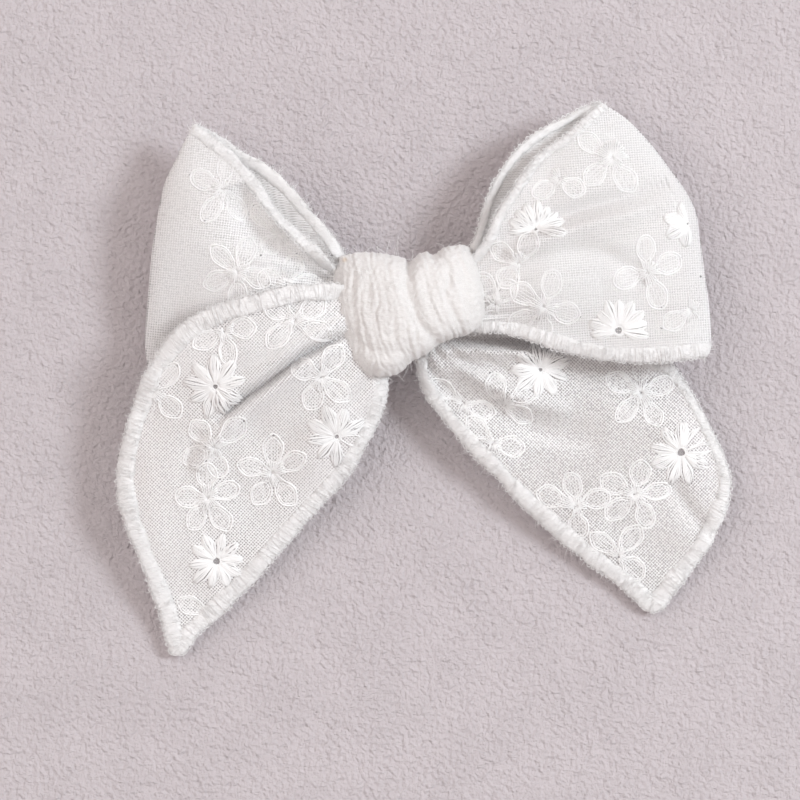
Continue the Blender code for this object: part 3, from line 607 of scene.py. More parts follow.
def onCloth(panel, plan):
    # the place on the front layer over each plan point, found by stepping towards it, and the normal there
    flat = np.asarray(plan, float).reshape(-1, 2) + bowMiddle
    u0, v0 = np.meshgrid(np.linspace(0.02, 0.98, 44), np.linspace(0.02, 0.98, 40), indexing="ij")
    coarse = clothPlan(panel, u0, v0).reshape(-1, 2)
    nearest = np.concatenate([np.argmin(((part[:, None] - coarse) ** 2).sum(-1), axis=1)
                              for part in np.array_split(flat, 1 + len(flat) // 2000)])
    u, v, tiny = u0.ravel()[nearest], v0.ravel()[nearest], 1e-3
    for _ in range(5):
        here = clothPlan(panel, u, v)
        du = (clothPlan(panel, u + tiny, v) - here) / tiny
        dv = (clothPlan(panel, u, v + tiny) - here) / tiny
        off, det = flat - here, du[:, 0] * dv[:, 1] - du[:, 1] * dv[:, 0]
        det = np.where(np.abs(det) < 5, 5 * np.sign(det) + (det == 0), det)
        u = np.clip(u + np.clip((off[:, 0] * dv[:, 1] - off[:, 1] * dv[:, 0]) / det, -0.05, 0.05), 0, 0.997)
        v = np.clip(v + np.clip((du[:, 0] * off[:, 1] - du[:, 1] * off[:, 0]) / det, -0.05, 0.05), 0, 0.997)
    here = clothPoint(panel, u, v)
    normal = unit(np.cross(clothPoint(panel, u + tiny, v) - here, clothPoint(panel, u, v + tiny) - here))
    inside = (v > 0.028) & (v < 0.972) & (u < 0.965)
    return here, normal * np.sign(normal[:, 2:]), inside


def stitchedOn(panel, paths, lifts):
    # thread paths drawn in plan (threads, places, 2) set on the cloth, each place lifted by its own amount;
    # threads that would run off the cloth are left out
    shape = paths.shape[:2]
    here, normal, inside = onCloth(panel, paths.reshape(-1, 2))
    missed = np.linalg.norm(here[:, :2] - paths.reshape(-1, 2) - bowMiddle, axis=1).reshape(shape)
    whole = (missed.max(axis=1) < 0.4) & inside.reshape(shape).all(axis=1)
    raised = here + normal * (lifts.reshape(-1, 1) + clothLook["thickness"] / 2)
    return raised.reshape(*shape, 3)[whole]


# ---- embroidery: satin daisies round an eyelet, and five-petalled flowers drawn in a double line

daisyLook = {"threads": 9, "radius": 0.155, "fullness": 0.34, "sides": 5,
             "taper": (0.7, 0.95, 1, 1, 1, 1, 1, 0.95, 0.65), "rings": ((0.14, 0.17), (0.36, 0.15))}
outlineLook = {"line": 0.175, "innerLine": 0.12, "innerScale": 0.8, "length": 2.4, "width": 1.98,
               "fill": 0.06, "spoke": 0.13, "sides": 5}


def daisyThreads(x, y, radius, petals, start, sweep, eyelet):
    # each petal is a fan of threads that rise over its middle and dive in at both ends
    s = np.linspace(0, 1, len(daisyLook["taper"]))
    widening = np.clip(s / 0.62, 0, 1) ** 0.9
    narrowing = 1 - 0.3 * np.clip((s - 0.62) / 0.38, 0, 1) ** 1.6
    spread = 0.16 + 0.84 * widening * narrowing
    paths, lifts = [], []
    for k in range(petals):
        turn = math.radians(start + sweep * (k + rng.uniform(-0.08, 0.08)) / petals)
        reach = radius * rng.uniform(0.88, 1.06)
        halfWidth = math.pi * 0.57 * reach / petals * rng.uniform(0.88, 1.1) * min(1.0, sweep / 360 + 0.35)
        for a in np.linspace(-1, 1, daisyLook["threads"]):
            length = reach * (0.72 + 0.28 * math.sqrt(1 - 0.9 * a * a)) * rng.uniform(0.97, 1.02)
            inner = eyelet + 0.12
            along = inner + (length - inner) * s
            across = a * halfWidth * spread + rng.normal(0, 0.05)
            px = x + along * math.cos(turn) - across * math.sin(turn)
            py = y + along * math.sin(turn) + across * math.cos(turn)
            paths.append(np.stack([px, py], axis=1))
            rise = daisyLook["fullness"] * math.sqrt(max(0.0, 1 - 0.85 * a * a))
            arch = rise * np.sin(math.pi * np.clip(s, 0.03, 0.99)) ** 0.7
            lifts.append(arch + rng.uniform(0.0, 0.06) - 0.05 * (s > 0.99))
    return np.array(paths), np.array(lifts)


def petalLines(x, y, centres):
    # each petal is a pointed oval from near the flower's middle, drawn twice, the second time a little inside
    t = np.linspace(0, 2 * math.pi, 26, endpoint=False)
    outer, inner, spokes, spokeLifts, fills = [], [], [], [], []
    for cx, cy in centres:
        e = np.array([cx - x, cy - y])
        reach = np.linalg.norm(e)
        e = e / max(reach, 0.1)
        across = np.array([-e[1], e[0]])
        length = min(outlineLook["length"], reach * 0.62) * rng.uniform(0.92, 1.08)
        width = outlineLook["width"] * rng.uniform(0.88, 1.1)
        wobble = 1 + 0.05 * np.sin(2 * t + rng.uniform(0, 6.28)) + 0.03 * np.sin(5 * t + rng.uniform(0, 6.28))
        ahead = np.cos(t) * (1 + 0.14 * np.cos(t) ** 8) * length * wobble
        aside = np.sin(t) * (0.93 + 0.12 * np.cos(t)) * width * wobble
        for lines, scale in ((outer, 1.0), (inner, outlineLook["innerScale"])):
            shift = rng.normal(0, 0.06, 2) * (scale < 1)
            lines.append(np.array([cx, cy]) + shift + scale * (ahead[:, None] * e + aside[:, None] * across))
        for a in np.linspace(-0.72, 0.72, 6):
            s = np.linspace(-0.85, 0.85, 6)[:, None] * math.sqrt(1 - a * a) * length
            fills.append(np.array([cx, cy]) + across * (a + rng.normal(0, 0.05)) * width * 0.9 + e * s)
        root = np.array([cx, cy]) - e * length * 0.95
        for a in np.linspace(-0.5, 0.5, 6):
            s = np.linspace(0, 1, 6)[:, None]
            far = root + across * a * 2.3 + e * rng.uniform(-0.2, 0.7)
            near = np.array([x, y]) + across * a * 1.0 + e * rng.uniform(0, 0.5)
            spokes.append(near + (far - near) * s)
            spokeLifts.append(0.2 * np.sin(math.pi * np.linspace(0.05, 0.95, 6)) + 0.03)
    return np.array(outer), np.array(inner), np.array(spokes), np.array(spokeLifts), np.array(fills)


def embroidery(name, panel, material):
    sets = []
    taper = np.array(daisyLook["taper"]) * daisyLook["radius"]
    turn = np.linspace(0, 2 * math.pi, 20, endpoint=False)
    for daisy in panel["daisies"]:
        paths, lifts = daisyThreads(*daisy)
        sets.append(tubeSet(stitchedOn(panel, paths, lifts), taper, daisyLook["sides"]))
        for extra, size in daisyLook["rings"]:
            around = (daisy[6] + extra) * (1 + 0.07 * np.sin(3 * turn + rng.uniform(0, 6)))
            ring = np.array(daisy[:2]) + around[:, None] * np.stack([np.cos(turn), np.sin(turn)], axis=1)
            ring = ring[None]
            laid = stitchedOn(panel, ring, np.full(ring.shape[:2], 0.1))
            sets.append(tubeSet(laid, size, daisyLook["sides"], closed=True))
    sides = outlineLook["sides"]
    for x, y, centres in panel["outlines"]:
        outer, inner, spokes, spokeLifts, fills = petalLines(x, y, centres)
        drawn = ((outer, outlineLook["line"], 0.02), (inner, outlineLook["innerLine"], 0.01))
        for lines, size, lift in drawn:
            uneven = size * (1 + 0.16 * np.sin(np.arange(lines.shape[1]) * 2.4))
            laid = stitchedOn(panel, lines, np.full(lines.shape[:2], lift))
            sets.append(tubeSet(laid, uneven, sides, closed=True))
        sets.append(tubeSet(stitchedOn(panel, spokes, spokeLifts), outlineLook["spoke"], sides))
        laid = stitchedOn(panel, fills, np.full(fills.shape[:2], 0.02))
        sets.append(tubeSet(laid, outlineLook["fill"], sides))
    return mergedTubes(name, sets, material)


# daisies as (x, y, radius, petals, first petal's angle, sweep, eyelet), outlines as (x, y, petal middles)
leftTail["daisies"] = [(-38.7, -1.5, 5.8, 9, 12, 360, 0.42), (-16.5, -10.7, 5.9, 9, 30, 360, 0.4),
                       (-39, -34, 5.7, 10, 5, 360, 0.62)]
leftTail["outlines"] = [
    (-40.5, -22, [(-44, -22), (-40.6, -17.9), (-37, -20.8), (-42.6, -25.8), (-38.2, -25.8)]),
    (-28.5, -17.5, [(-28.3, -13.2), (-32.2, -16.4), (-30.5, -21.2), (-26, -21.2), (-24.6, -15.4)]),
    (-39.2, -12.6, [(-35.6, -9.6), (-41.6, -9.8), (-42.6, -14.4), (-38.6, -16.0)]),
    (-19.3, 0.2, [(-17.2, 3.6), (-22.4, 1.6), (-20.8, -3.4), (-16.4, -2.2)]),
    (-24, 10.5, [(-27.2, 12.6), (-27, 7.8), (-20.8, 13), (-20, 8.8)]),
    (-37, 8.6, [(-40.4, 7), (-36.4, 5.0), (-33.6, 9.2)]),
    (-50.2, -2.4, [(-47.6, 0.4), (-47.2, -5.2), (-51.6, -6)]),
    (-40.6, -44, [(-43.8, -42.4), (-38.4, -41.6)])]
rightTail["daisies"] = [(21.2, 1.6, 5.6, 9, 20, 360, 0.35), (47.5, -13.7, 6.1, 9, 8, 360, 0.7)]
rightTail["outlines"] = [
    (40, -2.6, [(36, -0.8), (37.4, -5.8), (42.2, -6.6), (43.6, -1.4), (40, 1.4)]),
    (39, -21.5, [(39.8, -17.6), (35, -19.6), (43, -21), (35.8, -24.2), (40.8, -25.4)]),
    (28, -23.8, [(27.3, -20), (23.2, -22), (31.8, -22.4), (28.4, -27.4)]),
    (7, -4.6, [(3.2, -2), (6.6, -8.4), (10.4, -5.8)]),
    (12.4, -12, [(9.6, -9.2), (12.6, -15.6), (15.8, -12.6)]),
    (36, -33, [(33, -30.6), (38.2, -29.8), (38.8, -35.4)]),
    (14.6, -4.8, [(13, -1.4), (17.6, -6.6), (18.2, -2.8)])]
leftLoop["daisies"] = []
leftLoop["outlines"] = [
    (-37.4, 34.8, [(-41, 36.4), (-37, 38.6), (-39.4, 31.2), (-35, 31.4)]),
    (-34.6, 19.6, [(-37.4, 22.2), (-38.4, 18), (-34.6, 15.4), (-31.2, 18.4), (-33.2, 23.2)]),
    (-26.8, 26.6, [(-30, 30), (-28.6, 24.6), (-24.2, 24.8)]),
    (-25.6, 17.2, [(-28.8, 18), (-24.6, 20.4), (-22, 17.4)])]
rightLoop["daisies"] = [(20.2, 27.2, 5.4, 9, 352, 215, 0.3), (35.3, 8.8, 5.7, 9, 348, 225, 0.62),
                        (48, 28.4, 4.6, 7, 60, 360, 0.2)]
rightLoop["outlines"] = [
    (34.2, 40.4, [(30.2, 43.2), (34.4, 45.6), (38.4, 42.6), (31, 37.4), (36.4, 36.8)]),
    (21.5, 13.2, [(17.8, 15.4), (22.8, 17.2), (17.6, 10.8), (21.8, 9.2), (25.6, 12)]),
    (40.6, 19.4, [(40.2, 23.6), (44.4, 21), (36.8, 18.4), (42.2, 15.4)]),
    (48.6, 12.4, [(49.8, 16.2), (45.6, 10.6), (49.6, 8.8)]), (17, 21.2, [(14, 23), (18.6, 24.4), (15, 18.4)]),
    (24.4, 36.6, [(22, 39.6), (21.6, 34.6), (27, 35)]), (12.8, 13.6, [(11, 17), (14.8, 16), (11.6, 11)])]

# ---- cloth pieces


def needleHoles(panel, count):
    # small holes the needle left just past the tips of some petals
    draw = np.random.default_rng(panel["seed"] + 40)
    tips = [np.array(c) + unit(np.array(c) - [x, y]) * outlineLook["length"] * 1.12
            for x, y, centres in panel["outlines"] for c in centres]
    return [(*map(float, tips[k]), 0.2) for k in draw.permutation(len(tips))[:count]]


def camel(node):
    first, *others = node.split("_")
    return first + "".join(word.capitalize() for word in others)


# each with the weave's gap and its tone; the right loop's lower tone is painted shade, the same voile darkened
# because it faces the light
clothPlans = {"left_tail": (leftTail, tailCloth, 0.65, 1.0), "right_tail": (rightTail, tailCloth, 0.71, 1.0),
              "left_loop": (leftLoop, loopCloth, 0.67, 1.0),
              "right_loop": (rightLoop, loopCloth, 0.62, 0.965)}
clothPieces, flowerPieces = {}, {}
for name, (panel, make, gap, tone) in clothPlans.items():
    eyelets = [(daisy[0], daisy[1], daisy[6]) for daisy in panel["daisies"]] + needleHoles(panel, 9)
    material = voileMaterial(camel(name) + "Voile", eyelets, make is loopCloth, gap, tone)
    clothPieces[name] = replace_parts(make(camel(name) + "Cloth", panel, material), name)
    flowerPieces[name] = embroidery(camel(name) + "Embroidery", panel, floss)
print("cloth and embroidery ready")

# ---- overlocked edging: a padded, scalloped roll of thread with wrapping stitches, loops and lint

edgingLook = {"halfWidth": 1.62, "halfThick": 0.58, "along": [(0, 1), (1, 1)], "pitch": 1.05, "scallop": 0.04,
              "stitchRadius": 0.085, "beadPitch": 0.95, "beadReach": (0.2, 0.55), "beadRadius": 0.1,
              "fuzzPerMm": 38.0, "fuzzLength": (0.3, 1.1), "fuzzRadius": 0.045, "path": 0.25, "sides": 14,
              "run": 62.0}


def smoothed(values, span):
    # a moving average that keeps both ends where they are
    half = span // 2
    before = 2 * values[:1] - values[half:0:-1]
    after = 2 * values[-1:] - values[-2:-half - 2:-1]
    padded = np.concatenate([before, values, after])
    sums = np.cumsum(np.concatenate([np.zeros((1, values.shape[1])), padded]), axis=0)
    return (sums[2 * half + 1:] - sums[:-2 * half - 1]) / (2 * half + 1)


def readAlong(at, run, rows):
    # rows of x, y and z read at distances along a run
    return np.stack([np.interp(at, run, rows[:, k]) for k in range(3)], axis=-1)


def edgePath(panel, pieces, inset):
    # the line of an edging in the cloth's own shares, evened out, with the cloth's normal beside it
    points, normals = [], []
    width = np.linalg.norm(panel["upperCurve"] - panel["lowerCurve"], axis=1)
    for u, v, back in pieces:
        u, v = np.broadcast_arrays(np.asarray(u, float), np.asarray(v, float))
        margin = np.clip(inset / readRows(width, u), 0, 0.3)
        v = margin + v * (1 - 2 * margin)
        here = clothPoint(panel, u, v, back)
        step = np.where(u > 0.5, -1e-3, 1e-3)
        sidestep = np.where(v > 0.5, -1e-3, 1e-3)
        du = (clothPoint(panel, u + step, v, back) - here) / step[:, None]
        dv = (clothPoint(panel, u, v + sidestep, back) - here) / sidestep[:, None]
        normal = unit(np.cross(du, dv))
        points.append(here)
        normals.append(normal * np.sign(normal[:, 2:]) * (-1 if back else 1))
    points, normals = np.concatenate(points), np.concatenate(normals)
    run = np.concatenate([[0.0], np.cumsum(np.linalg.norm(np.diff(points, axis=0), axis=1))])
    marks = np.arange(0, run[-1], edgingLook["path"])
    return smoothed(readAlong(marks, run, points), 7), unit(smoothed(readAlong(marks, run, normals), 9))


def edgingRoll(name, way, look):
    path, side, normal, run, slow = (way[key] for key in ("path", "side", "normal", "run", "slow"))
    sides = look["sides"]
    turn = np.linspace(0, 2 * math.pi, sides, endpoint=False)
    marks = np.arange(0, run[-1] + 2, 0.9)
    lumps = rng.normal(0, 0.05, (len(path), sides))
    for turns, start in ((1, 0), (1, 1.57), (2, 0), (2, 0.79), (3, 0.3)):
        beat = np.interp(run, marks, rng.normal(0, 1, len(marks)))
        lumps += 0.035 * beat[:, None] * np.cos(turns * turn + start * turns)
    ridge = np.abs(np.sin(math.pi * (run[:, None] / look["pitch"] + 0.35 * np.cos(turn))))
    swell = slow[:, None] * (1 - look["scallop"] * (1 - ridge)) + lumps
    swell = swell * np.clip(np.minimum(run, run[-1] - run) / 1.0, 0.25, 1)[:, None]
    wide, thick = look["halfWidth"] * swell * np.cos(turn), look["halfThick"] * swell * np.sin(turn)
    points = path[:, None] + side[:, None] * wide[..., None] + normal[:, None] * thick[..., None]
    order = np.arange(sides)
    quads = gridQuads(len(path), sides, True)
    caps = np.stack([order[::-1], (len(path) - 1) * sides + order])
    if np.cross(side[0], normal[0]) @ way["along"][0] < 0:
        quads, caps = quads[:, ::-1], caps[:, ::-1]
    return buildMesh(name, points.reshape(-1, 3), quads, overlockThread, caps=caps)


def edgingStitches(name, way, look):
    path, side, normal, run, slow = (way[key] for key in ("path", "side", "normal", "run", "slow"))
    # wrapping stitches cross the roll, each with its own slant and its own share of the way over
    starts = np.arange(0.6, run[-1] - 0.8, look["pitch"] * 0.28)
    count = len(starts)
    starts = starts + rng.normal(0, 0.2, count)
    first, last = rng.uniform(-0.25, 0.25, count), rng.uniform(0.75, 1.15, count)
    s = np.linspace(0, 1, 8)
    over = (first[:, None] + (last - first)[:, None] * s) * math.pi
    at = np.clip(starts[:, None] + rng.uniform(-1.1, 1.1, (count, 1)) * (s - 0.5), 0, run[-1])
    reach = (1 + rng.uniform(-0.14, 0.16, (count, 1))) * np.interp(at, run, slow) * 0.98
    aside = (np.cos(over) * look["halfWidth"] * reach)[..., None]
    above = (np.sin(over) * look["halfThick"] * reach)[..., None]
    arcs = readAlong(at, run, path) + readAlong(at, run, side) * aside + readAlong(at, run, normal) * above
    size = look["stitchRadius"] * (1 - 0.35 * np.linspace(-1, 1, 8) ** 4)
    # small loops of thread stand out along the outer side
    bead = np.arange(0.8, run[-1] - 1.0, look["beadPitch"])
    shares = np.linspace(-0.45, 0.45, 7) + rng.normal(0, 0.06, (len(bead), 1))
    bead = bead[:, None] + look["beadPitch"] * shares
    proud = rng.uniform(*look["beadReach"], (len(bead), 1)) * np.sin(math.pi * np.linspace(0, 1, 7)) ** 0.7
    reach = np.interp(bead, run, slow) * look["halfWidth"] * 0.9 + proud
    loops = readAlong(bead, run, path) + readAlong(bead, run, side) * reach[..., None]
    loops[..., 2] = np.maximum(loops[..., 2], 0.2)
    return mergedTubes(name + "Stitches", [tubeSet(arcs, size, 5), tubeSet(loops, look["beadRadius"], 5)],
                       overlockThread)


def edgingLint(name, way, look):
    # short curved fibres standing out of the roll
    path, side, normal, run, slow = (way[key] for key in ("path", "side", "normal", "run", "slow"))
    count = int(run[-1] * look["fuzzPerMm"])
    at = rng.uniform(0.3, run[-1] - 0.3, count)
    row = np.clip((at / look["path"]).astype(int), 0, len(path) - 1)
    angle = rng.uniform(-0.35, 1.35, count) * math.pi
    cosine, sine = np.cos(angle)[:, None], np.sin(angle)[:, None]
    out = unit(side[row] * cosine + normal[row] * sine)
    size = 0.9 * slow[row][:, None]
    offset = side[row] * cosine * look["halfWidth"] + normal[row] * sine * look["halfThick"]
    start = path[row] + offset * size
    proud = np.where(rng.random(count) < 0.3, 1.1, 0.35)[:, None]
    lean = unit(out * proud + rng.normal(0, 0.7, (count, 3)))
    bend = rng.normal(0, 0.5, (count, 3))
    hairs = strands(start, lean, bend, rng.uniform(*look["fuzzLength"], count), 4)
    hairs[..., 2] = np.maximum(hairs[..., 2], 0.12)
    thin = look["fuzzRadius"] * np.array([1.0, 0.85, 0.65, 0.3])
    return mergedTubes(name + "Lint", [tubeSet(hairs, thin, 3)], lintFibre)


def strands(start, lean, bend, length, places):
    # one curved line for each start
    s = np.linspace(0, 1, places)[:, None]
    return start[:, None] + lean[:, None] * (s * length[:, None, None]) \
        + bend[:, None] * (s**2 * length[:, None, None])


def edging(name, path, upward, look, outward):
    along = unit(np.gradient(path, axis=0))
    side = unit(np.cross(upward, along)) * outward
    run = np.arange(len(path)) * look["path"]
    beats = np.arange(0, run[-1] + 9, 3.0)
    slow = 1 + 0.10 * np.interp(run, beats, rng.normal(0, 1, len(beats)))
    shares, factors = np.array(look["along"], float).T
    way = {"path": path, "along": along, "side": side, "normal": unit(np.cross(along, side)) * outward,
           "run": run, "slow": slow * np.interp(run / run[-1], shares, factors)}
    return edgingRoll(name, way, look), edgingStitches(name, way, look), edgingLint(name, way, look)


out = np.linspace(0.03, 1, 260)
edgingPieces = {}
for name, panel, side in (("left_tail", leftTail, 1), ("right_tail", rightTail, -1)):
    inset = panel["edgeInset"]
    far = 1 - inset / edgingLook["run"]
    across = np.linspace(0.001, 0.999, 160)
    line = [(out * far, 0.0, False), (far, across, False), (out[::-1] * far, 1.0, False)]
    path, upward = edgePath(panel, line, inset)
    look = {**edgingLook, **panel.get("look", {})}
    edgingPieces[name + "_edging"] = edging(camel(name) + "Edging", path, upward, look, side)
loopEdges = {("left_loop", "lower"): {"halfWidth": 1.0, "halfThick": 0.5},
             ("left_loop", "upper"): {"halfWidth": 1.15, "halfThick": 0.4, "beadReach": (0.5, 0.85),
                                      "beadRadius": 0.085},
             ("right_loop", "lower"): {"halfWidth": 1.35, "halfThick": 0.5},
             ("right_loop", "upper"): {"halfWidth": 0.8, "halfThick": 0.45}}
for (name, edge), ownLook in loopEdges.items():
    panel, v = clothPlans[name][0], float(edge == "upper")
    share = 1 - (1 - out) ** 1.5
    path, upward = edgePath(panel, [(share, v, False), (share[-2::-1], v, True)], panel["edgeInset"])
    node = f"{name}_{edge}_edging"
    edgingPieces[node] = edging(camel(node), path, upward, {**edgingLook, **ownLook}, 1 if v else -1)
for node, parts in edgingPieces.items():
    for part in parts:
        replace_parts(part, node)
print("edging ready")

# ---- knot: a crinkled cotton band, broad and domed in front, narrow where it passes under the arm

knotLook = {"crinkle": 0.165, "foldDepth": 0.42, "stain": (-15.0, 21.8), "stainRadius": 0.75,
            "stainColour": (0.80, 0.60, 0.38), "dark": (0.79, 0.765, 0.748), "light": (0.88, 0.863, 0.85),
            "fineBumpMm": 0.1, "creaseBumpMm": 0.5, "strays": 150}
knotOutline = {
    "left": [(-8.8, 0.2), (-11, 0.6), (-12.7, 1.7), (-14.2, 3.6), (-15.4, 6.2), (-16.6, 9.4), (-17.3, 12),
             (-17.4, 15), (-17, 19), (-16, 22.2)],
    "right": [(9.4, 9), (10.7, 10), (11.3, 12), (11.3, 15), (10.6, 18.4), (9.6, 21), (8.4, 23.4)],
    "bottom": [(-8.8, 0.2), (-6, 0.5), (-4.2, 1.5), (-2.5, 3.1), (0.5, 4.7), (2.5, 6.3), (5, 7.3), (7.5, 8),
               (9.4, 9)],
    "top": [(-16, 22.2), (-13, 23.1), (-10, 23.2), (-7, 22.8), (-4.2, 22.2), (-3, 21.4), (-1.5, 22.8),
            (0, 23.2), (1.3, 22.7), (3, 23.9), (5, 24.4), (7, 24.4), (8.4, 23.4)]}
# the band's sections under the arm, as (y, z, x, half width, half thickness)
knotUnder = [(8.8, 8.2, -0.9, 4.7, 0.85), (6.6, 5.2, -1.2, 4.2, 0.7), (3.6, 3.4, -1.4, 4.0, 0.6),
             (0, 3.0, -1.5, 4.0, 0.6), (-3.6, 3.5, -1.8, 3.8, 0.6), (-6.2, 5.2, -2.0, 3.4, 0.7),
             (-7.6, 8.0, -2.3, 3.0, 0.8)]
knotFolds = [
    ([(-3, 21.6), (-3.6, 17), (-2.2, 12.9), (-0.9, 9.6), (2.6, 6)], -1.7, 0.7),
    ([(-0.6, 22), (-1.6, 17), (-0.3, 13), (1, 10), (3.6, 7.4)], 0.8, 0.9),
    ([(-5.4, 21.5), (-5.8, 16), (-4.6, 11), (-3, 7)], 0.7, 1.5),
    ([(2.1, 24), (4.0, 20.5), (4.3, 17.7), (3.6, 15.3), (5.2, 11.5), (7, 8)], -1.3, 0.6),
    ([(4.2, 23.6), (6.4, 19.8), (7.2, 16), (8.2, 12)], -0.6, 0.8), ([(6, 22), (8.4, 18), (9, 13)], 0.6, 1.3),
    ([(1, 22), (2, 18), (1.8, 14), (3.4, 10)], 0.6, 0.9),
    ([(-9.6, 22), (-10.6, 16), (-9.4, 9)], -0.7, 0.8), ([(-12.6, 21), (-13.4, 15), (-12.4, 8)], -0.5, 0.7),
    ([(-15, 10), (-11, 5.6), (-6, 4.6), (-2, 5.6)], -0.7, 1.0), ([(-12, 3.6), (-8, 2.4), (-4, 4)], 0.7, 1.2),
    ([(-8, 7.4), (-4.4, 8.6), (-1.6, 11.4)], -0.4, 0.6), ([(-7, 19), (-4.4, 17.6)], -0.4, 0.5)]
knotGrid = {"rows": 46, "section": 240, "along": 320}


def knotPillow():
    # the knot's front in plan from its four outlines, domed: flat-topped across, rounder from front to back
    half = knotGrid["section"] // 2
    a = np.linspace(0, 1, half)
    a = a - 0.3 * np.sin(2 * math.pi * a) / (2 * math.pi)
    curves = {k: evenCurve(np.array(p, float) + bowMiddle, 33) for k, p in knotOutline.items()}
    aa, bb = np.meshgrid(a, np.linspace(0, 1, knotGrid["rows"]))
    low, high = readRows(curves["bottom"], aa), readRows(curves["top"], aa)
    west, east = readRows(curves["left"], bb), readRows(curves["right"], bb)
    across, along = aa[..., None], bb[..., None]
    bottomLine = (1 - across) * curves["bottom"][0] + across * curves["bottom"][-1]
    topLine = (1 - across) * curves["top"][0] + across * curves["top"][-1]
    flat = (1 - across) * west + across * east + (1 - along) * (low - bottomLine) + along * (high - topLine)
    dome = (1 - np.abs(2 * aa - 1) ** 3.2) ** 0.55 * (1 - np.abs(2 * bb - 1) ** 2.8) ** 0.55
    rise = np.clip((aa - 0.55) / 0.32, 0, 1)
    tilt = 0.6 * (1 - 2 * np.abs(aa - 0.42)) + 1.1 * rise**2 * (3 - 2 * rise)
    return np.concatenate([flat, (12.4 + (7.4 + tilt) * dome)[..., None]], axis=-1)


def knotSections():
    # closed sections round the band: the pillow in front, then the narrow part under the arm
    section = knotGrid["section"]
    outer = knotPillow()
    middle = np.array([*(np.array([-2.4, 12.6]) + bowMiddle), 11.4])
    inner = middle + (outer - middle) * np.array([0.84, 0.82, 0.78])
    upper = np.concatenate([outer, inner[:, ::-1]], axis=1)
    turn = np.linspace(0, 2 * math.pi, section, endpoint=False) + math.pi / section
    centres = np.array(knotUnder)
    under = []
    for (y, z, x, wide, thick), (dy, dz) in zip(centres, unit(np.gradient(centres[:, :2], axis=0))):
        outY, outZ = -dz, dy
        if outY * y + outZ * (z - 10) < 0:
            outY, outZ = -outY, -outZ
        lift = np.sin(turn) * thick
        under.append(np.stack([x - np.cos(turn) * wide, y + lift * outY, z + lift * outZ], axis=1))
    # just below the pillow the band draws in under its own edge
    tucked = middle + (upper[[-1, 0]] - middle) * np.array([0.76, 0.80, 0.5]) - np.array([0, 0, 2.2])
    keys = np.concatenate([upper, tucked[:1], np.array(under), tucked[1:]])
    return np.concatenate([keys, keys[:2]])


def knotRelief(points):
    # how far the folds and crinkles push the front out; the crinkles run with the band, lean to the right
    # lower down, and are waves of four widths whose crests wander
    x, y = points[..., 0] - bowMiddle[0], points[..., 1] - bowMiddle[1]
    shift = np.zeros_like(x)
    for line, depth, width in knotFolds:
        curve = evenCurve(np.array(line, float), 40)
        apart = (x[..., None] - curve[:, 0]) ** 2 + (y[..., None] - curve[:, 1]) ** 2
        part = np.argmin(apart, axis=-1) / (len(curve) - 1)
        taper = np.clip(5 * part * (1 - part), 0, 1) ** 0.5
        shift += knotLook["foldDepth"] * depth * taper * np.exp(-apart.min(axis=-1) / width**2)
    top = np.clip((points[..., 2] - 12.0) / 3.0, 0, 1)
    shift *= top
    lean = 0.06 + 0.30 / (1 + np.exp(-(x + 6.5) / 2.0))
    strand = x + lean * (y - 12) + 0.35 * np.sin(0.55 * y + 0.4 * x) + 0.12 * np.sin(1.7 * y + 2.1 * x)
    crinkle = np.zeros_like(x)
    for wide, size, wander, start in ((2.1, 0.5, 0.35, 0.4), (1.35, 0.5, 0.6, 2.2), (0.9, 0.42, 0.9, 4.4),
                                      (0.62, 0.3, 1.3, 1.2)):
        bent = 1.3 * np.sin(wander * y + 0.8 * x + start)
        crinkle += size * np.sin(2 * math.pi * strand / wide + start + bent)
    patch = 0.75 + 0.25 * np.sin(x * 0.7 + 1.1) * np.sin(y * 0.6 + 0.4)
    cross = 0.5 * np.sin(2 * math.pi * (y + 0.6 * np.sin(x * 1.7)) / 1.5) * np.sin(x * 2.1 + y)
    leftMore = 0.9 + 0.1 / (1 + np.exp((x - 0.5) * 0.8))
    return shift + knotLook["crinkle"] * (crinkle * patch + cross) * leftMore * (0.7 + 0.3 * top)


def knotShape():
    keys = knotSections()
    half = knotGrid["section"] // 2
    run = np.concatenate([[0], np.cumsum(np.linalg.norm(np.diff(keys[:, half // 2], axis=0), axis=1))])
    even = np.linspace(0, 1, knotGrid["along"] + 1)[:-1]
    marks = np.interp(even, run / run[-2], np.linspace(0, 1, len(keys)))
    points = readRows(keys, marks)
    across = np.roll(points, -1, axis=1) - np.roll(points, 1, axis=1)
    alongRows = np.roll(points, -1, axis=0) - np.roll(points, 1, axis=0)
    normal = unit(np.cross(across, alongRows))
    away = points - np.array([0.0, 0.0, 11.0])
    away[..., 0] = 0
    facing = np.sign((normal * away).sum(-1)[:, half // 4:3 * half // 4].mean())
    normal = normal * facing
    outside = np.arange(knotGrid["section"]) < half
    points = points + normal * (knotRelief(points) * outside)[..., None]
    quads = gridQuads(*points.shape[:2], True, True)
    return points, normal, quads if facing > 0 else quads[:, ::-1]


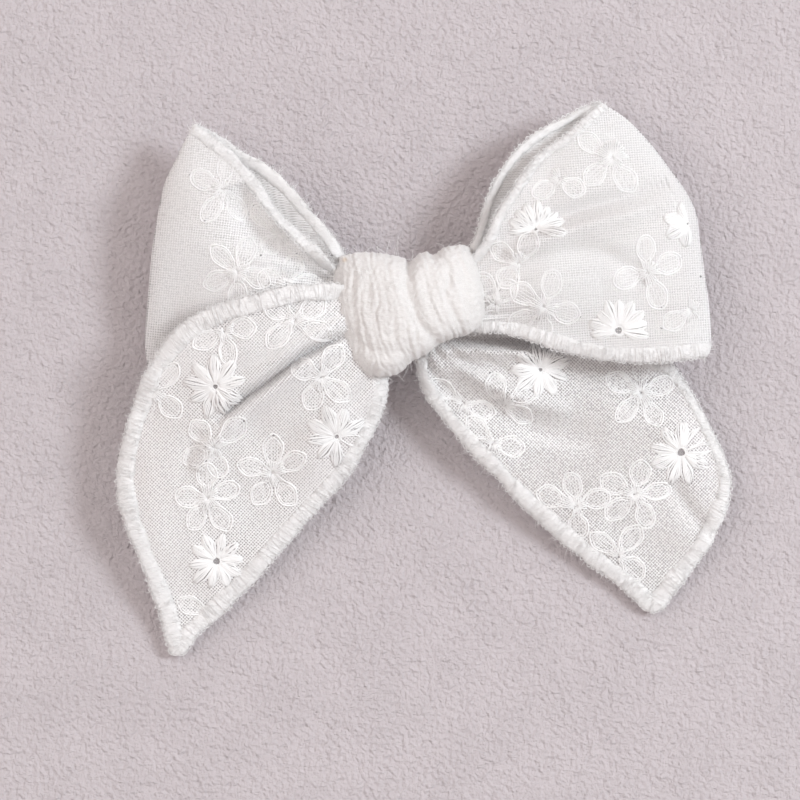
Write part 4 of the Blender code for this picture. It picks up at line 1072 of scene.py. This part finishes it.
def crepeMaterial():
    material, tree, shader = startMaterial("knotCrepe", (0.91, 0.895, 0.88), 0.9, Sheen_Weight=0.3,
                                           Sheen_Roughness=0.5, Specular_IOR_Level=0.25)
    inMm = placeInMm(tree)
    crepe = placeGroup(tree, lint, inMm, Scale=1.3)
    fine = placeGroup(tree, lint, inMm, Scale=4.5)
    # painted shade: the cotton runs from dark to light with the crepe bump's height, darker in its creases
    cotton = mixColour(tree, rangeNode(tree, crepe.outputs["Height"], 0.36, 0.6), (*knotLook["dark"], 1),
                       (*knotLook["light"], 1))
    away = planDistance(tree, inMm, np.array(knotLook["stain"]) + bowMiddle)
    stained = rangeNode(tree, away, 0.0, knotLook["stainRadius"], 0.5, 0.0)
    shade = mixColour(tree, stained, cotton, (*knotLook["stainColour"], 1))
    tree.links.new(shade, shader.inputs["Base Color"])
    soft = bumpFrom(tree, shader, fine.outputs["Height"], knotLook["fineBumpMm"] * mm, 0.6)
    bumpFrom(tree, shader, crepe.outputs["Height"], knotLook["creaseBumpMm"] * mm, 0.7, soft)
    return material


points, knotNormal, quads = knotShape()
knotCotton = crepeMaterial()
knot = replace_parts(buildMesh("knotWrap", points.reshape(-1, 3), quads, knotCotton), "knot_band")
count = knotLook["strays"]
pick = rng.integers(0, 220, count), rng.integers(8, 112, count)
lean = unit(knotNormal[pick] + rng.normal(0, 0.6, (count, 3)))
length = rng.uniform(0.5, 2.2, count)
strays = strands(points[pick], lean, rng.normal(0, 0.8, (count, 3)), length, 5)
strays[..., 2] = np.clip(strays[..., 2], 4.5, 21.9)
knotLint = mergedTubes("knotLint", [tubeSet(strays, 0.03, 3)], lintFibre)
print("knot ready")

# ---- clip, pin, spring, ribbon, glue and hidden stitching


def metalMaterial(name, colour, roughness, worn):
    material, tree, shader = startMaterial(name, colour, roughness, Metallic=1.0)
    marks = placeGroup(tree, wear, objectPlace(tree))
    cloud = marks.outputs["Cloud"]
    dull = mathNode(tree, "MULTIPLY", cloud, 0.16)
    scratch = mathNode(tree, "MULTIPLY", marks.outputs["Scratch"], 0.14)
    rough = mathNode(tree, "ADD", mathNode(tree, "ADD", dull, scratch), roughness)
    tree.links.new(rough, shader.inputs["Roughness"])
    dark = mathNode(tree, "MAXIMUM", mathNode(tree, "MULTIPLY", cloud, 0.35), marks.outputs["Speck"])
    shade = mixColour(tree, mathNode(tree, "MULTIPLY", dark, 0.6), (*colour, 1), (*worn, 1))
    tree.links.new(shade, shader.inputs["Base Color"])
    bumpFrom(tree, shader, marks.outputs["Scratch"], 0.01 * mm, 0.6)
    return material


def ribbonMaterial(dark, light):
    material, tree, shader = startMaterial("grosgrainRibbon", light, 0.7, Sheen_Weight=0.3)
    ribs = addNode(tree, "ShaderNodeTexWave", {"Vector": objectPlace(tree), "Scale": 420.0, "Distortion": 0.4,
                                               "Detail": 2.0}, bands_direction="X")
    # painted shade: the colour follows the rib bump, darker in the grooves between ribs
    tree.links.new(mixColour(tree, ribs.outputs["Fac"], (*dark, 1), (*light, 1)), shader.inputs["Base Color"])
    bumpFrom(tree, shader, ribs.outputs["Fac"], 0.15 * mm, 0.8)
    return material


def glueMaterial(colour):
    material, tree, shader = startMaterial("hotGlue", colour, 0.32, Subsurface_Weight=0.2, Coat_Weight=0.2)
    shader.inputs["Subsurface Radius"].default_value = (0.002, 0.0016, 0.0012)
    lumps = addNode(tree, "ShaderNodeTexNoise", {"Vector": objectPlace(tree), "Scale": 500.0, "Detail": 3.0})
    tree.links.new(rangeNode(tree, lumps.outputs[0], 0.3, 0.7, 0.25, 0.42), shader.inputs["Roughness"])
    bumpFrom(tree, shader, lumps.outputs[0], 0.2 * mm, 0.5)
    return material


nickel = metalMaterial("nickelPlate", (0.78, 0.76, 0.73), 0.20, (0.46, 0.43, 0.39))
springSteel = metalMaterial("springSteel", (0.62, 0.61, 0.60), 0.28, (0.30, 0.28, 0.26))
ribbon = ribbonMaterial((0.80, 0.79, 0.775), (0.92, 0.91, 0.90))
glue = glueMaterial((0.86, 0.84, 0.78))
finishes = {"clip_upper_arm": nickel, "clip_lower_jaw": nickel, "hinge_pin": nickel, "arm_ribbon": ribbon,
            "glue_pad": glue, "gathered_waist": knotCotton, "binding_thread": sewingThread,
            "band_stitch_1": sewingThread, "band_stitch_2": sewingThread, "band_stitch_3": sewingThread}
for node, finish in finishes.items():
    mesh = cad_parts[node].data
    mesh.materials.clear()
    mesh.materials.append(finish)

spring = {"x": -11.0, "z": 3.1, "wire": 0.33, "coil": 1.5, "turns": 4, "pitch": 0.85, "leg": 8.5, "legY": 1.7,
          "lowerZ": (1.45, 1.3), "upperZ": (4.62, 5.34), "sides": 8}
turn = np.linspace(0, 2 * math.pi * spring["turns"], 160)
coil = np.stack([spring["x"] - spring["coil"] * np.sin(turn),
                 -spring["legY"] + spring["pitch"] * turn / (2 * math.pi),
                 spring["z"] + spring["coil"] * np.cos(turn)], axis=1)


def springPiece(name, path, up=(0, 0, 1)):
    tube = tubeSet(path[None], spring["wire"], spring["sides"], up=up)
    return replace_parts(mergedTubes(name, [tube], springSteel), "torsion_spring")


def springLeg(name, y, heights):
    s = np.linspace(0, 1, 14)
    low, high = heights
    path = np.stack([spring["x"] - spring["leg"] * s, y + 0 * s, low + (high - low) * s], axis=1)
    return springPiece(name, path)


springCoil = springPiece("springCoil", coil, (0, 1, 0))
springUpperLeg = springLeg("springUpperLeg", spring["legY"], spring["upperZ"])
springLowerLeg = springLeg("springLowerLeg", -spring["legY"], spring["lowerZ"])
print("clip ready")

# ---- what rides on what

riders = [*clothPieces.values(), *flowerPieces.values(), knot, knotLint, springCoil, springUpperLeg]
for parts in edgingPieces.values():
    riders += parts
for piece in riders:
    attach(piece, "bow")
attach(springLowerLeg, "jaw")
for name, piece in clothPieces.items():
    parts = [p for node, group in edgingPieces.items() if node.startswith(name) for p in group]
    parts += [flowerPieces[name]]

# ---- floor, light and camera

floorLook = {"colour": (0.648, 0.593, 0.612), "roughness": 0.85, "halfWidth": 1.2, "drop": 0.05,
             "broadScale": 270.0, "grainScale": 1000.0, "patchScale": 90.0, "broadBumpMm": 1.9,
             "grainBumpMm": 1.2}
plaster, tree, shader = startMaterial("plasterFloor", floorLook["colour"], floorLook["roughness"])
place = objectPlace(tree)


def floorNoise(size, detail, roughness=0.5):
    settings = {"Vector": place, "Scale": floorLook[size], "Detail": detail, "Roughness": roughness}
    return addNode(tree, "ShaderNodeTexNoise", settings).outputs[0]


broad = floorNoise("broadScale", 7.0, 0.74)
grain = floorNoise("grainScale", 4.0)
patches = floorNoise("patchScale", 2.0)
marks = mathNode(tree, "MULTIPLY", broad, rangeNode(tree, patches, 0.36, 0.64, 0.75, 1.1))
soft = bumpFrom(tree, shader, grain, floorLook["grainBumpMm"] * mm, 0.9)
bumpFrom(tree, shader, marks, floorLook["broadBumpMm"] * mm, 0.55, soft)
mesh = bpy.data.meshes.new("floor")
reach = floorLook["halfWidth"]
corners = [(-reach, -reach, 0), (reach, -reach, 0), (reach, reach, 0), (-reach, reach, 0)]
mesh.from_pydata(corners, [], [(0, 1, 2, 3)])
mesh.materials.append(plaster)
floor = bpy.data.objects.new("floor", mesh)
bpy.context.scene.collection.objects.link(floor)
floor.location.z = -floorLook["drop"] * mm

studio = {"middle": (0, -0.016, 0), "worldColour": (1.035, 0.955, 0.935, 1), "worldStrength": 0.62}


def areaLight(name, place, size, power, colour):
    data = bpy.data.lights.new(name, "AREA")
    data.shape, data.size, data.energy, data.color = "DISK", size, power, colour
    lamp = bpy.data.objects.new(name, data)
    bpy.context.scene.collection.objects.link(lamp)
    lamp.location = place
    lamp.rotation_euler = (Vector(studio["middle"]) - Vector(place)).to_track_quat("-Z", "Y").to_euler()
    return lamp


key = areaLight("keyLight", (0.95, 0.28, 0.92), 0.42, 10.6, (0.915, 0.995, 1.045))
fill = areaLight("fillLight", (-0.7, 0.5, 1.2), 1.4, 6.0, (1.03, 0.975, 0.95))
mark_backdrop(floor, key, fill)
world = bpy.data.worlds.new("paleStudio")
world.use_nodes = True
background = world.node_tree.nodes["Background"]
background.inputs["Color"].default_value = studio["worldColour"]
background.inputs["Strength"].default_value = studio["worldStrength"]
bpy.context.scene.world = world
bpy.context.scene.view_settings.view_transform = "Standard"

# straight down: the picture is as wide as this at the given height over the floor
view = {"place": (-0.0016, -0.016, 0.75), "sensor": 36.0, "width": 0.1488, "height": 0.006}
camera = bpy.data.objects.new("camera", bpy.data.cameras.new("camera"))
bpy.context.scene.collection.objects.link(camera)
camera.location = view["place"]
camera.data.sensor_width = view["sensor"]
camera.data.lens = view["sensor"] * (view["place"][2] - view["height"]) / view["width"]
bpy.context.scene.camera = camera

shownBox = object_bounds()
for title, box in (("cad", cadBox), ("visual", shownBox)):
    print(title, "size in mm", [round(1000 * (high - low), 1) for low, high in zip(*box)])
